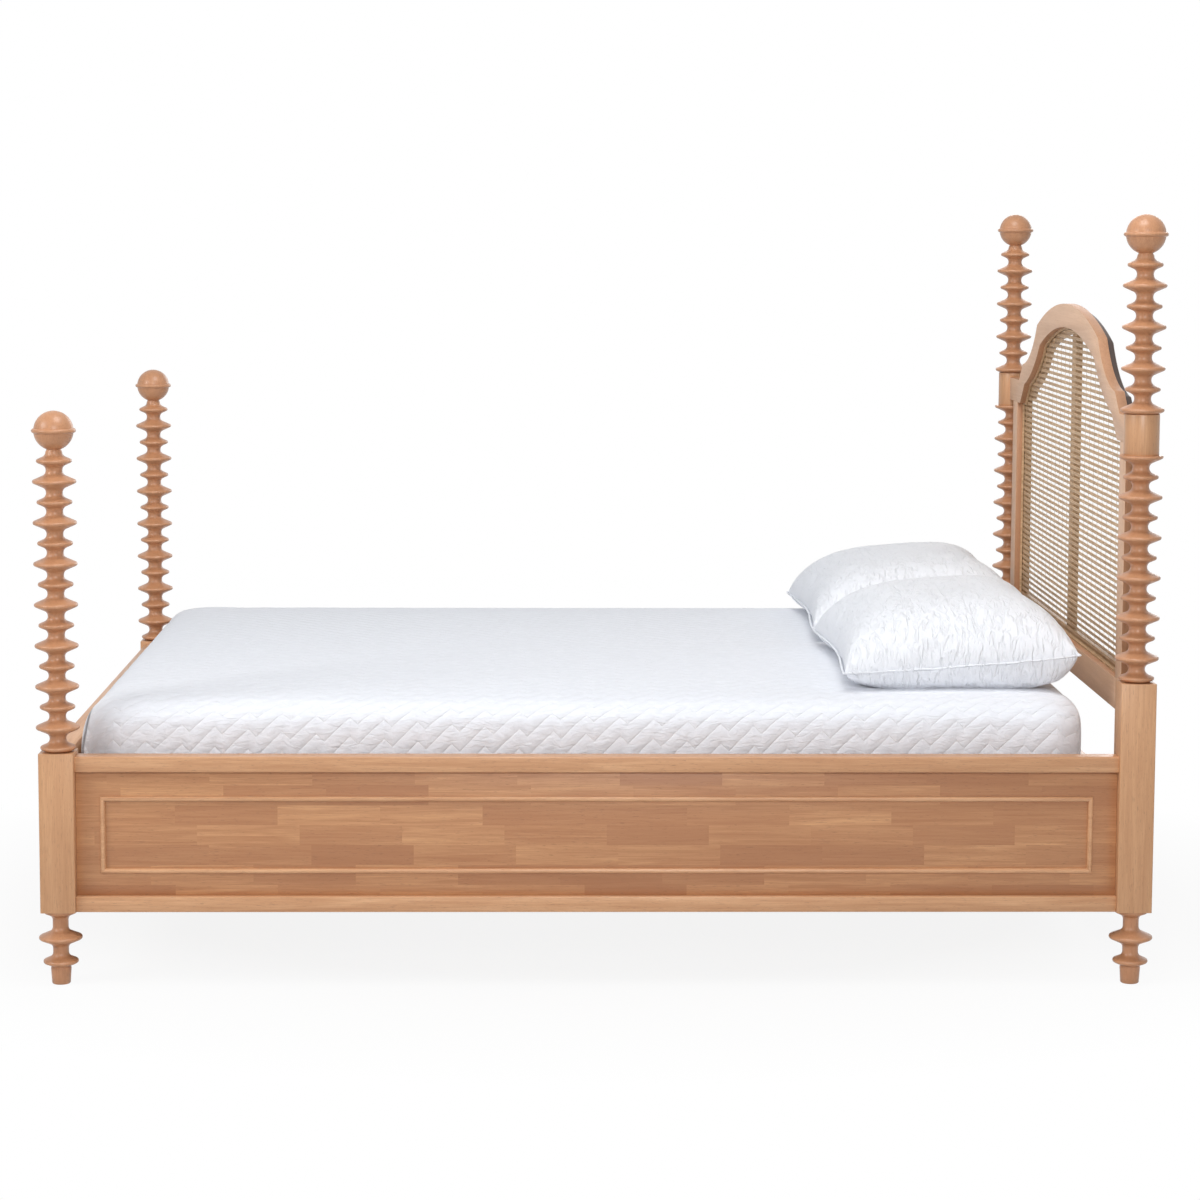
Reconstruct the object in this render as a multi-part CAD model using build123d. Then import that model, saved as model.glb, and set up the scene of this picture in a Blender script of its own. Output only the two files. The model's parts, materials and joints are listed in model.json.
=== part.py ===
from build123d import *
import math
import os

# Four-poster bed with turned posts and an arched cane headboard.
# Millimetres, +Z up. The origin is on the floor under the middle of the four posts.
# X runs from the foot (-X) to the head (+X). Seen from the foot, left is +Y and right is -Y.

# Mattress, and the room round it inside the rails
mattress_length = 2032.0
mattress_width = 1524.0
mattress_thickness = 205.0
mattress_side_gap = 30.0
mattress_foot_gap = 36.0
mattress_head_gap = 67.5
mattress_corner_radius = 70.0
mattress_top_rounding = 36.0
mattress_bottom_rounding = 24.0
mattress_crown = 6.0
mattress_crown_inset = 240.0

# Posts: blocks and legs
block_side = 70.0
block_arris = 1.5
leg_height = 150.0
foot_block_height = 322.0
head_block_height = 464.0

# Turned work: discs on a thin neck
disc_radius_large = 43.5
disc_radius_small = 35.2
disc_rim = 4.6
disc_flank_slope = 0.52
disc_pitch = 41.0
disc_seat_rise = 8.0
neck_radius = 16.8
foot_disc_count = 15
head_lower_disc_count = 12
head_upper_disc_count = 8

# Ball with a ring round its middle, on a short thin neck
ball_radius = 39.5
ball_ring_radius = 44.0
ball_ring_height = 10.0
ball_ring_land = 5.0
ball_neck_radius = 14.2
ball_rise_above_disc = 60.0

# Round tenons on the ends of the turnings, and their sockets
tenon_radius = 12.5
tenon_length = 36.0
socket_clearance = 0.2
socket_extra_depth = 2.0
cut_overrun = 1.0

# Turned leg, heights above the floor
leg_large_disc_height = 94.0
leg_small_disc_height = 45.5
leg_neck_radius = 15.8
leg_taper_top_height = 32.0
leg_taper_top_radius = 20.3
leg_taper_bottom_radius = 18.2
leg_shoulder_radius = 33.5
leg_shoulder_drop = 3.0

# Plain collar in each head post
collar_radius = 35.0
collar_height = 82.0
head_lower_spindle_height = 455.0

# Rails: cap strip, base strip, recessed panel and planted bead
rail_height = 315.0
strip_height = 31.5
strip_depth = 40.0
strip_recess = 11.0
strip_arris = 1.5
panel_recess = 25.0
panel_thickness = 18.0
panel_tongue = 7.0
bead_width = 10.0
bead_height = 7.0
bead_edge_height = 2.5
bead_end_margin = 48.5
bead_top_margin = 51.0
bead_bottom_margin = 45.0

# Slat deck
head_rail_thickness = 25.0
head_rail_height = 165.0
ledger_thickness = 32.0
ledger_height = 45.0
ledger_drop = 120.0
slat_count = 14
slat_width = 70.0
slat_thickness = 18.0
slat_end_clearance = 4.0
slat_end_margin = 105.0
strap_width = 25.0
strap_thickness = 1.2
strap_inset = 110.0
beam_width = 40.0
beam_height = 70.0
hanger_sheet = 2.5
hanger_length = 34.0
hanger_back_margin = 16.0
centre_leg_side = 45.0
centre_leg_spacing = 650.0
glide_radius = 16.0
glide_height = 4.0

# Steel corner brackets and their bolts
bracket_sheet = 3.0
bracket_height = 84.0
bracket_leg_length = 46.0
bracket_bottom_rise = 20.0
bracket_side_clearance = 1.0
bolt_radius = 4.0
bolt_hole_clearance = 0.2
bolt_length = 38.0
bolt_head_height = 5.5
bolt_head_across_corners = 14.4
bolt_stagger = 20.0

# Headboard: front frame, with the heights of the arch above the foot of its tabs
headboard_setback = 12.5
front_thickness = 20.0
tab_rise_on_collar = 17.0
tab_height = 55.0
tab_seat_depth = 28.0
tab_inner_reach = 189.0
tab_outer_reach = 168.0
elbow_outer_reach = 219.0
elbow_outer_rise = 97.0
shoulder_outer_reach = 417.0
shoulder_outer_rise = 199.0
apex_outer_rise = 260.0
elbow_inner_reach = 250.0
elbow_inner_rise = 50.0
shoulder_inner_reach = 458.0
shoulder_inner_rise = 153.0
apex_inner_rise = 207.0
ogee_outer_sagitta = 23.0
ogee_inner_sagitta = 14.0
stile_width = 63.0
stile_outer_reach = 91.0
bottom_rail_height = 64.5
bottom_rail_drop = 15.0
frame_tenon_length = 20.0
frame_tenon_thickness = 8.0
frame_tenon_shoulder = 10.0
tab_dowel_radius = 5.0
tab_dowel_length = 46.0
tab_dowel_end_gap = 5.0

# Headboard: cane, spline and dark back frame
cane_thickness = 2.5
cane_rebate = 9.0
cane_pitch = 13.1
cane_gap_height = 5.8
cane_border = 6.0
cane_rib_width = 7.0
spline_width = 4.5
spline_depth = 4.5
back_thickness = 15.0
back_outer_inset = 12.0
back_inner_overhang = 15.0
centre_stile_width = 48.0

# Pillows
pillow_length = 662.0
pillow_width = 500.0
pillow_gap = 24.0
pillow_head_gap = 1.0
pillow_seam_thickness = 5.0
pillow_foot_seam_rise = 46.0
pillow_head_seam_rise = 76.0
pillow_crown = 120.0
pillow_rest_half_width = 150.0
pillow_waist = 16.0
pillow_stations = 11
pillow_crown_fullness = 2.6
pillow_rest_fullness = 10
pillow_end_share = 0.999
pillow_side_place = 0.72
pillow_side_drop = 0.62
rest_clearance = 0.3

# Places worked out from the sizes above
half_block = block_side / 2
panel_inner_recess = panel_recess + panel_thickness
post_y = mattress_width / 2 + mattress_side_gap + panel_inner_recess - half_block
foot_room = mattress_foot_gap + panel_inner_recess - half_block
head_room = mattress_head_gap + head_rail_thickness / 2
head_x = (foot_room + mattress_length + head_room) / 2
foot_x = -head_x
foot_block_top = leg_height + foot_block_height
head_block_top = leg_height + head_block_height
rail_bottom = leg_height
rail_top = rail_bottom + rail_height
panel_inner_y = post_y + half_block - panel_inner_recess
panel_inner_x = foot_x - half_block + panel_inner_recess
ledger_top = rail_top - ledger_drop
slat_top = ledger_top + slat_thickness
head_rail_face_x = head_x - head_rail_thickness / 2
beam_bottom = ledger_top - beam_height
collar_bottom = head_block_top + head_lower_spindle_height
collar_top = collar_bottom + collar_height
front_face_x = head_x - headboard_setback
back_frame_x = front_face_x + front_thickness
cane_x = back_frame_x - cane_thickness
tab_bottom = collar_bottom + tab_rise_on_collar
tab_top = tab_bottom + tab_height
bottom_rail_top = head_block_top - bottom_rail_drop
bottom_rail_bottom = bottom_rail_top - bottom_rail_height
stile_outer_y = post_y - stile_outer_reach
stile_inner_y = stile_outer_y - stile_width
frame_mid_x = front_face_x + front_thickness / 2
mattress_x = (foot_room - head_room) / 2
mattress_bottom = slat_top + rest_clearance
mattress_top = mattress_bottom + mattress_thickness
bracket_bottom = rail_bottom + strip_height + bracket_bottom_rise
sides = {"left": 1, "right": -1}


def bar(x, y, z):
    """A rectangular bar between two limits on each axis."""
    low = [min(pair) for pair in (x, y, z)]
    size = [abs(pair[1] - pair[0]) for pair in (x, y, z)]
    return Pos(*low) * Box(*size, align=(Align.MIN, Align.MIN, Align.MIN))


def rod(radius, start, end, axis):
    """A round rod along X, Y or Z whose middle line starts and ends at two points."""
    turn = {"X": Rot(0, 90, 0), "Y": Rot(90, 0, 0), "Z": Rot(0, 0, 0)}[axis]
    middle = [(a + b) / 2 for a, b in zip(start, end)]
    return Pos(*middle) * turn * Cylinder(radius, math.dist(start, end))


def save(name, *shapes):
    """Write one piece, or one group of like pieces, to its own file."""
    solids = [solid for shape in shapes for solid in shape.solids()]
    export_step(Compound(solids) if len(solids) > 1 else solids[0], f"parts/{name}.step")


# Turned pieces


def disc(height, radius, neck=neck_radius):
    """The outline of one disc from its upper neck to its lower neck: flank, rim and flank."""
    half_rim = disc_rim / 2
    half_foot = half_rim + (radius - neck) * disc_flank_slope
    return [
        (neck, height + half_foot),
        (radius, height + half_rim),
        (radius, height - half_rim),
        (neck, height - half_foot),
    ]


def seated_disc(height, radius, seat):
    """A disc whose lower flank is cut flat where it stands on a block or a collar."""
    half_rim = disc_rim / 2
    seat_radius = radius - (height - half_rim - seat) / disc_flank_slope
    return disc(height, radius)[:3] + [(seat_radius, seat)]


def disc_radii(count, first):
    """Large and small radii by turns, from the top down."""
    pair = (disc_radius_large, disc_radius_small)
    start = pair.index(first)
    return [pair[(start + index) % 2] for index in range(count)]


def lower_tenon(seat):
    """The outline of a round tenon under a seat."""
    return [(tenon_radius, seat), (tenon_radius, seat - tenon_length), (0, seat - tenon_length)]


def revolved(*curves):
    """A solid turned about Z from the curves of its half outline."""
    edges = [edge for curve in curves for edge in (Plane.XZ * curve).edges()]
    return revolve(make_face(edges), Axis.Z)


def ball_arc(centre, start, end):
    """The ball's outline between two heights above or below its centre."""
    angles = [math.asin(height / ball_radius) for height in (start, end)]
    angles.insert(1, sum(angles) / 2)
    return ThreePointArc(
        *[(ball_radius * math.cos(a), centre + ball_radius * math.sin(a)) for a in angles]
    )


def ball_spindle(seat, count):
    """A stack of discs on a seat, with a small disc on top, under the ringed ball."""
    base_height = seat + disc_seat_rise
    top_height = base_height + (count - 1) * disc_pitch
    centre = top_height + ball_rise_above_disc
    radii = disc_radii(count, disc_radius_small)
    ring_join = math.sqrt(ball_radius**2 - (ball_ring_height / 2) ** 2)
    neck_drop = math.sqrt(ball_radius**2 - ball_neck_radius**2)
    ring = [
        (ring_join, centre + ball_ring_height / 2),
        (ball_ring_radius, centre + ball_ring_land / 2),
        (ball_ring_radius, centre - ball_ring_land / 2),
        (ring_join, centre - ball_ring_height / 2),
    ]
    outline = [(ball_neck_radius, centre - neck_drop)]
    for index, radius in enumerate(radii[:-1]):
        outline += disc(top_height - index * disc_pitch, radius)
    outline += seated_disc(base_height, radii[-1], seat) + lower_tenon(seat)
    outline += [(0, centre + ball_radius)]
    return revolved(
        ball_arc(centre, ball_radius, ball_ring_height / 2),
        Polyline(*ring),
        ball_arc(centre, -ball_ring_height / 2, -neck_drop),
        Polyline(*outline),
    )


def collar_spindle(seat, top, count):
    """A stack of discs between a block and a collar, cut flat at both ends."""
    base_height = seat + disc_seat_rise
    top_height = top - disc_rim / 2
    pitch = (top_height - base_height) / (count - 1)
    radii = disc_radii(count, disc_radius_large)
    outline = [
        (0, top + tenon_length),
        (tenon_radius, top + tenon_length),
        (tenon_radius, top),
        (disc_radius_large, top),
    ]
    outline += disc(top_height, radii[0])[2:]
    for index, radius in enumerate(radii[1:-1], start=1):
        outline += disc(top_height - index * pitch, radius)
    outline += seated_disc(base_height, radii[-1], seat) + lower_tenon(seat)
    return revolved(Polyline(*outline, close=True))


def turned_leg():
    """A short leg: half disc, large disc, small disc and a tapered foot, with a tenon on top."""
    large = disc(leg_large_disc_height, disc_radius_large, leg_neck_radius)
    small = disc(leg_small_disc_height, disc_radius_small, leg_neck_radius)
    shoulder_foot = (leg_shoulder_radius - leg_neck_radius) * disc_flank_slope
    outline = [
        (0, leg_height + tenon_length),
        (tenon_radius, leg_height + tenon_length),
        (tenon_radius, leg_height),
        (leg_shoulder_radius, leg_height),
        (leg_shoulder_radius, leg_height - leg_shoulder_drop),
        (leg_neck_radius, leg_height - leg_shoulder_drop - shoulder_foot),
        *large,
        *small[:3],
        (leg_taper_top_radius, leg_taper_top_height),
        (leg_taper_bottom_radius, 0),
        (0, 0),
    ]
    return revolved(Polyline(*outline, close=True))


def collar(side):
    """A plain collar, bored for two tenons and notched for the arched rail's tab."""
    radius = tenon_radius + socket_clearance
    piece = rod(collar_radius, (0, 0, collar_bottom), (0, 0, collar_top), "Z")
    bore_z = (collar_bottom - cut_overrun, collar_top + cut_overrun)
    piece -= rod(radius, (0, 0, bore_z[0]), (0, 0, bore_z[1]), "Z")
    piece = Pos(head_x, side * post_y, 0) * piece
    piece -= bar(
        (front_face_x, back_frame_x),
        (side * (post_y - tab_seat_depth), side * (post_y - block_side)),
        (tab_bottom, tab_top),
    )
    return piece - tab_dowel(side, socket_clearance)


# Post blocks


def bracket_bolt_places():
    """Where each bolt enters a block: the point on the block's face, the axis and the way in.

    The bolts along X pass above those along Y inside the block.
    """
    places = []
    upper = bracket_bottom + bracket_height / 2 + bolt_stagger
    lower = upper - 2 * bolt_stagger
    side_rail_y = (post_y - half_block + panel_inner_y) / 2
    foot_rail_x = (foot_x + half_block + panel_inner_x) / 2
    head_rail_x = (head_x - half_block + head_rail_face_x) / 2
    for side in sides.values():
        for x, way in ((foot_x + half_block, -1), (head_x - half_block, 1)):
            places.append(((x, side * side_rail_y, upper), "X", way))
        for x in (foot_rail_x, head_rail_x):
            places.append(((x, side * (post_y - half_block), lower), "Y", side))
    return places


def along(point, axis, distance):
    """The point moved along X or Y."""
    moved = list(point)
    moved["XY".index(axis)] += distance
    return moved


def bolt_bore(point, axis, way):
    """The clearance hole for a bolt through its bracket and into its block."""
    radius = bolt_radius + bolt_hole_clearance
    start = along(point, axis, -way * 2 * bracket_sheet)
    return rod(radius, start, along(point, axis, way * bolt_length), axis)


def bolt(point, axis, way):
    """A hexagon-headed bolt whose head bears on the bracket."""
    head_start = along(point, axis, -way * bracket_sheet)
    head_end = along(head_start, axis, -way * bolt_head_height)
    end = along(point, axis, way * (bolt_length - socket_extra_depth))
    turn = Rot(0, 90, 0) if axis == "X" else Rot(90, 0, 0)
    middle = [(a + b) / 2 for a, b in zip(head_start, head_end)]
    hexagon = RegularPolygon(bolt_head_across_corners / 2, 6)
    head = extrude(hexagon, bolt_head_height / 2, both=True)
    return rod(bolt_radius, head_start, end, axis) + Pos(*middle) * turn * head


def post_block(x, side, height):
    """A square block with a round socket in each end and bolt holes on its inner faces."""
    y = side * post_y
    bottom = leg_height
    top = leg_height + height
    block = bar(
        (x - half_block, x + half_block), (y - half_block, y + half_block), (bottom, top)
    )
    block = chamfer(block.edges().filter_by(Axis.Z), block_arris)
    depth = tenon_length + socket_extra_depth
    radius = tenon_radius + socket_clearance
    block -= rod(radius, (x, y, top - depth), (x, y, top), "Z")
    block -= rod(radius, (x, y, bottom), (x, y, bottom + depth), "Z")
    for point, axis, way in bracket_bolt_places():
        if math.dist(point[:2], (x, y)) < block_side:
            block -= bolt_bore(point, axis, way)
    return block


# Panelled rails, modelled with the outside towards +Y and the blocks' outer face at zero


def bead_strip(length):
    """A bead with mitred ends: its long edge is at zero and its short edge at its width."""
    crown = (0, bead_width / 2, bead_height)
    section = make_face(
        Polyline((0, 0, bead_edge_height), (0, 0, 0), (0, bead_width, 0), (0, bead_width, bead_edge_height))
        + ThreePointArc((0, bead_width, bead_edge_height), crown, (0, 0, bead_edge_height))
    )
    strip = Pos(-length / 2, 0, 0) * extrude(section, length, dir=(1, 0, 0))
    mitred = Polyline(
        (-length / 2, 0),
        (length / 2, 0),
        (length / 2 - bead_width, bead_width),
        (bead_width - length / 2, bead_width),
        close=True,
    )
    return strip & extrude(make_face(mitred), bead_height)


def bead_frame(length, height):
    """Four mitred beads round a rectangle, lying flat about its middle."""
    strips = []
    for quarter, (span, reach) in enumerate([(length, height), (height, length)] * 2):
        strips += (Rot(0, 0, 90 * quarter) * Pos(0, -reach / 2, 0) * bead_strip(span)).solids()
    return strips


def panelled_rail(length):
    """The cap strip, base strip, panel and beads of a rail, in that order."""
    strip_y = (-strip_recess - strip_depth, -strip_recess)
    panel_y = (-panel_inner_recess, -panel_recess)
    span = (-length / 2, length / 2)
    panel_z = (rail_bottom + strip_height - panel_tongue, rail_top - strip_height + panel_tongue)
    panel = bar(span, panel_y, panel_z)
    cap = bar(span, strip_y, (rail_top - strip_height, rail_top))
    outer_edges = cap.edges().filter_by(Axis.X).sort_by(Axis.Y)[-2:]
    cap = chamfer(outer_edges, strip_arris) - panel
    base = bar(span, strip_y, (rail_bottom, rail_bottom + strip_height)) - panel
    bead_bottom = rail_bottom + strip_height + bead_bottom_margin
    bead_top = rail_top - strip_height - bead_top_margin
    lay = Pos(0, -panel_recess, (bead_bottom + bead_top) / 2) * Rot(-90, 0, 0)
    beads = bead_frame(length - 2 * bead_end_margin, bead_top - bead_bottom)
    return cap, base, panel, Compound([lay * strip for strip in beads])


# Slat deck


def hanger(x, way):
    """A steel stirrup that carries one end of the centre beam on the rail at x."""
    outer = beam_width / 2 + hanger_sheet
    depth = (x, x + way * hanger_length)
    back = outer + hanger_back_margin
    piece = bar(depth, (-outer, outer), (beam_bottom - hanger_sheet, beam_bottom))
    for side in sides.values():
        piece += bar(
            depth, (side * beam_width / 2, side * outer), (beam_bottom - hanger_sheet, ledger_top)
        )
        piece += bar(
            (x, x + way * hanger_sheet),
            (side * beam_width / 2, side * back),
            (beam_bottom - hanger_sheet, ledger_top),
        )
    return piece


def corner_bracket(corner, inward, width, along_x):
    """An angle in the corner of a block and a rail: one leg on the block, one on the rail.

    The block's leg has the given width; inward holds the two signs that point into the bed.
    """
    height = (bracket_bottom, bracket_bottom + bracket_height)
    x, y = corner
    way_x, way_y = inward
    reach_x = bracket_leg_length if along_x else width
    reach_y = width if along_x else bracket_leg_length
    piece = bar((x, x + way_x * reach_x), (y, y + way_y * bracket_sheet), height)
    return piece + bar((x, x + way_x * bracket_sheet), (y, y + way_y * reach_y), height)


def corner_brackets():
    """Every bracket, bored for its bolt."""
    side_width = panel_inner_y - (post_y - half_block) - bracket_side_clearance
    foot_width = foot_x + half_block - panel_inner_x - bracket_side_clearance
    head_width = head_rail_face_x - (head_x - half_block) - bracket_side_clearance
    brackets = []
    for side in sides.values():
        inner_y = side * (post_y - half_block)
        rail_y = side * panel_inner_y
        brackets += [
            corner_bracket((foot_x + half_block, rail_y), (1, -side), side_width, True),
            corner_bracket((head_x - half_block, rail_y), (-1, -side), side_width, True),
            corner_bracket((panel_inner_x, inner_y), (1, -side), foot_width, False),
            corner_bracket((head_rail_face_x, inner_y), (-1, -side), head_width, False),
        ]
    for point, axis, way in bracket_bolt_places():
        brackets = [piece - bolt_bore(point, axis, way) for piece in brackets]
    return brackets


# Headboard, drawn in the plane of Y and Z and given its thickness along X


def place_y(reach):
    """The distance from the middle of a point that lies inside the post's axis by reach."""
    return post_y - reach


def arch_curves(apex_rise, shoulder, elbow, sagitta):
    """The arch from left elbow to right elbow: an ogee, the crown and an ogee."""
    (shoulder_reach, shoulder_rise), (elbow_reach, elbow_rise) = shoulder, elbow
    shoulder_point = (place_y(shoulder_reach), tab_bottom + shoulder_rise)
    elbow_point = (place_y(elbow_reach), tab_bottom + elbow_rise)
    ogee = SagittaArc(elbow_point, shoulder_point, sagitta)
    crown = ThreePointArc(
        shoulder_point,
        (0, tab_bottom + apex_rise),
        (-shoulder_point[0], shoulder_point[1]),
    )
    return ogee, crown, ogee.mirror(Plane.YZ)


def opening_face(bottom):
    """The headboard's opening, from the height where the given piece needs it upwards."""
    curves = arch_curves(
        apex_inner_rise,
        (shoulder_inner_reach, shoulder_inner_rise),
        (elbow_inner_reach, elbow_inner_rise),
        ogee_inner_sagitta,
    )
    elbow_y, elbow_z = place_y(elbow_inner_reach), tab_bottom + elbow_inner_rise
    tab_y = place_y(tab_inner_reach)
    below = Polyline(
        (elbow_y, elbow_z),
        (tab_y, tab_bottom),
        (stile_inner_y, tab_bottom),
        (stile_inner_y, bottom),
        (-stile_inner_y, bottom),
        (-stile_inner_y, tab_bottom),
        (-tab_y, tab_bottom),
        (-elbow_y, elbow_z),
    )
    return make_face([*curves, *below.edges()])


def arch_blank(half_width):
    """The arch's outer outline, closed straight across the foot of its tabs."""
    curves = arch_curves(
        apex_outer_rise,
        (shoulder_outer_reach, shoulder_outer_rise),
        (elbow_outer_reach, elbow_outer_rise),
        ogee_outer_sagitta,
    )
    elbow_y, elbow_z = place_y(elbow_outer_reach), tab_bottom + elbow_outer_rise
    tab_y = place_y(tab_outer_reach)
    below = Polyline(
        (elbow_y, elbow_z),
        (tab_y, tab_top),
        (half_width, tab_top),
        (half_width, tab_bottom),
        (-half_width, tab_bottom),
        (-half_width, tab_top),
        (-tab_y, tab_top),
        (-elbow_y, elbow_z),
    )
    return make_face([*curves, *below.edges()])


def board(face, start, thickness):
    """A flat shape of Y and Z as a board that starts at the given X."""
    return Pos(start, 0, 0) * extrude(Plane.YZ * face, thickness)


def frame_tenon(y, z):
    """A flat tenon on the middle of the front frame's thickness."""
    half = frame_tenon_thickness / 2
    return bar((frame_mid_x - half, frame_mid_x + half), y, z)


def tab_dowel(side, clearance=0.0):
    """A dowel from an arch tab into its collar, or its hole where a clearance is given."""
    middle_y = side * (post_y - tab_seat_depth)
    half = tab_dowel_length / 2 + (socket_extra_depth if clearance else 0)
    # the outer half stops short of the collar's bore
    outer_y = side * (post_y - tenon_radius - tab_dowel_end_gap)
    height = tab_bottom + tab_height / 2
    start = (frame_mid_x, middle_y - side * half, height)
    return rod(tab_dowel_radius + clearance, start, (frame_mid_x, outer_y, height), "Y")


def cane_blank():
    """The cane's outline, which fills the rebate and has the round corners that a cutter leaves."""
    return offset(opening_face(bottom_rail_top), cane_rebate, kind=Kind.ARC)


def cane_net():
    """The cane with its rows of gaps on both sides of a middle rib, following the arch."""
    inner = offset(opening_face(bottom_rail_top), -cane_border, kind=Kind.INTERSECTION)
    bottom = bottom_rail_top + cane_border
    top = tab_bottom + apex_inner_rise - cane_border
    rows = int((top - bottom - cane_gap_height) // cane_pitch) + 1
    slots = []
    for row in range(rows):
        height = bottom + cane_pitch * row + cane_gap_height / 2
        for side in sides.values():
            middle = side * (stile_inner_y + cane_rib_width / 2) / 2
            length = stile_inner_y - cane_rib_width / 2
            slots.append(Pos(middle, height) * Rectangle(length, cane_gap_height))
    return cane_blank() - [slot & inner for slot in slots]


def headboard():
    """Every piece of the headboard by name."""
    opening = opening_face(bottom_rail_top)
    cane_space = board(cane_blank(), cane_x, cane_thickness)
    stile_z = (bottom_rail_top, tab_bottom)
    stile_tenon_y = (stile_inner_y + frame_tenon_shoulder, stile_outer_y - frame_tenon_shoulder)
    stile_tenon_z = (bottom_rail_top - frame_tenon_length, tab_bottom + frame_tenon_length)
    rail_half = post_y - half_block
    rail_tenon_z = (bottom_rail_bottom + frame_tenon_shoulder, bottom_rail_top - frame_tenon_shoulder)
    front_x = (front_face_x, back_frame_x)

    arch_end = post_y - tab_seat_depth
    arch = board(arch_blank(arch_end) - opening, front_face_x, front_thickness) - cane_space
    rail = bar(front_x, (-rail_half, rail_half), (bottom_rail_bottom, bottom_rail_top))
    rail += frame_tenon(
        (-rail_half - frame_tenon_length, rail_half + frame_tenon_length), rail_tenon_z
    )
    rail -= cane_space
    pieces = {}
    for name, side in sides.items():
        stile = bar(front_x, (side * stile_inner_y, side * stile_outer_y), stile_z)
        tenons = frame_tenon([side * y for y in stile_tenon_y], stile_tenon_z)
        rail -= tenons
        arch = arch - tenons - tab_dowel(side, socket_clearance)
        pieces[f"headboard_stile_{name}"] = stile + tenons - cane_space
    pieces["headboard_arch_rail"] = arch
    pieces["headboard_bottom_rail"] = rail

    spline_face = opening - offset(opening, -spline_width, kind=Kind.INTERSECTION)
    pieces["cane_spline"] = board(spline_face, cane_x - spline_depth, spline_depth)
    pieces["cane_panel"] = board(cane_net(), cane_x, cane_thickness)
    return pieces


def back_frame():
    """The dark frame behind the cane by name: arch, stiles, bottom rail and centre stile."""
    hole = offset(opening_face(bottom_rail_top), -back_inner_overhang, kind=Kind.INTERSECTION)
    outer = offset(arch_blank(stile_outer_y), -back_outer_inset, kind=Kind.INTERSECTION)
    foot = tab_bottom + back_outer_inset
    outer_y = stile_outer_y - back_outer_inset
    inner_y = stile_inner_y - back_inner_overhang
    bottom = bottom_rail_bottom + back_outer_inset
    top = bottom_rail_top + back_inner_overhang
    crown = tab_bottom + apex_inner_rise - back_inner_overhang
    depth = (back_frame_x, back_frame_x + back_thickness)
    half = centre_stile_width / 2
    pieces = {
        "back_frame_arch": board(outer - hole, back_frame_x, back_thickness),
        "back_frame_bottom_rail": bar(depth, (-inner_y, inner_y), (bottom, top)),
    }
    for name, side in sides.items():
        stile = bar(depth, (side * inner_y, side * outer_y), (bottom, foot))
        pieces[f"back_frame_stile_{name}"] = stile
    centre = bar(depth, (-half, half), (top, crown + back_inner_overhang))
    pieces["back_frame_centre_stile"] = centre - pieces["back_frame_arch"]
    return pieces


# Mattress and pillows


def mattress():
    """A soft block with rounded edges and a low crown on top."""
    rim = mattress_thickness - mattress_crown
    turns = [math.radians(angle) for angle in (90, 60, 30, 0)]
    radius = mattress_bottom_rounding
    levels = [(radius * (1 - math.sin(t)), radius * (1 - math.cos(t))) for t in turns]
    radius = mattress_top_rounding
    levels += [(rim - radius * (1 - math.sin(t)), radius * (1 - math.cos(t))) for t in turns[::-1]]
    levels.append((mattress_thickness, mattress_crown_inset))
    sections = []
    for height, inset in levels:
        outline = RectangleRounded(
            mattress_length - 2 * inset,
            mattress_width - 2 * inset,
            mattress_corner_radius,
        )
        sections.append(Pos(0, 0, height) * outline)
    return Pos(mattress_x, 0, mattress_bottom) * loft(sections, ruled=True)


def pillow_section(share):
    """The pillow's outline across its width, at a share of its half length from the middle."""
    reach = abs(pillow_end_share * share)
    crown_swell = math.sqrt(1 - reach**pillow_crown_fullness)
    rest_swell = math.sqrt(1 - reach**pillow_rest_fullness)
    half_width = pillow_width / 2 - pillow_waist * math.cos(share * math.pi / 2)
    seam_slope = (pillow_head_seam_rise - pillow_foot_seam_rise) / pillow_width
    seam_middle = (pillow_head_seam_rise + pillow_foot_seam_rise) / 2

    def seam(x):
        """The seam's height above the mattress."""
        return seam_middle + seam_slope * x

    def underside(x, drop):
        """The height of a point that has gone a share of the way down to the mattress."""
        low_edge = seam(x) - pillow_seam_thickness / 2
        return low_edge * (1 - rest_swell * drop)

    def lower_side(way):
        """The rounded side under the seam, at the head's end or the foot's."""
        rest_x = way * pillow_rest_half_width
        side_x = rest_x + (way * half_width - rest_x) * pillow_side_place
        return ThreePointArc(
            (way * half_width, underside(way * half_width, 0)),
            (side_x, underside(side_x, pillow_side_drop)),
            (rest_x, underside(rest_x, 1)),
        )

    top = seam(0) + pillow_seam_thickness / 2 + pillow_crown * crown_swell
    foot_top = seam(-half_width) + pillow_seam_thickness / 2
    head_top = seam(half_width) + pillow_seam_thickness / 2
    return make_face(
        [
            ThreePointArc((-half_width, foot_top), (0, top), (half_width, head_top)),
            Line((half_width, head_top), (half_width, underside(half_width, 0))),
            lower_side(1),
            Line(
                (pillow_rest_half_width, underside(pillow_rest_half_width, 1)),
                (-pillow_rest_half_width, underside(-pillow_rest_half_width, 1)),
            ),
            lower_side(-1),
            Line((-half_width, underside(-half_width, 0)), (-half_width, foot_top)),
        ]
    )


def pillow(side):
    """A pillow: crowned above its seam, full below it, and flat where it rests on the mattress."""
    sections = []
    for station in range(pillow_stations):
        share = -math.cos(math.pi * station / (pillow_stations - 1))
        section = Plane.XZ * pillow_section(share)
        sections.append(Pos(0, share * pillow_length / 2, 0) * section)
    body = loft(sections, ruled=True)
    x = mattress_x + mattress_length / 2 - pillow_head_gap - pillow_width / 2
    y = side * (pillow_length + pillow_gap) / 2
    z = mattress_top + rest_clearance - body.bounding_box().min.Z
    return Pos(x, y, z) * body


# Everything, one file to a piece or to a group of like pieces

os.makedirs("parts", exist_ok=True)

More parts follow.
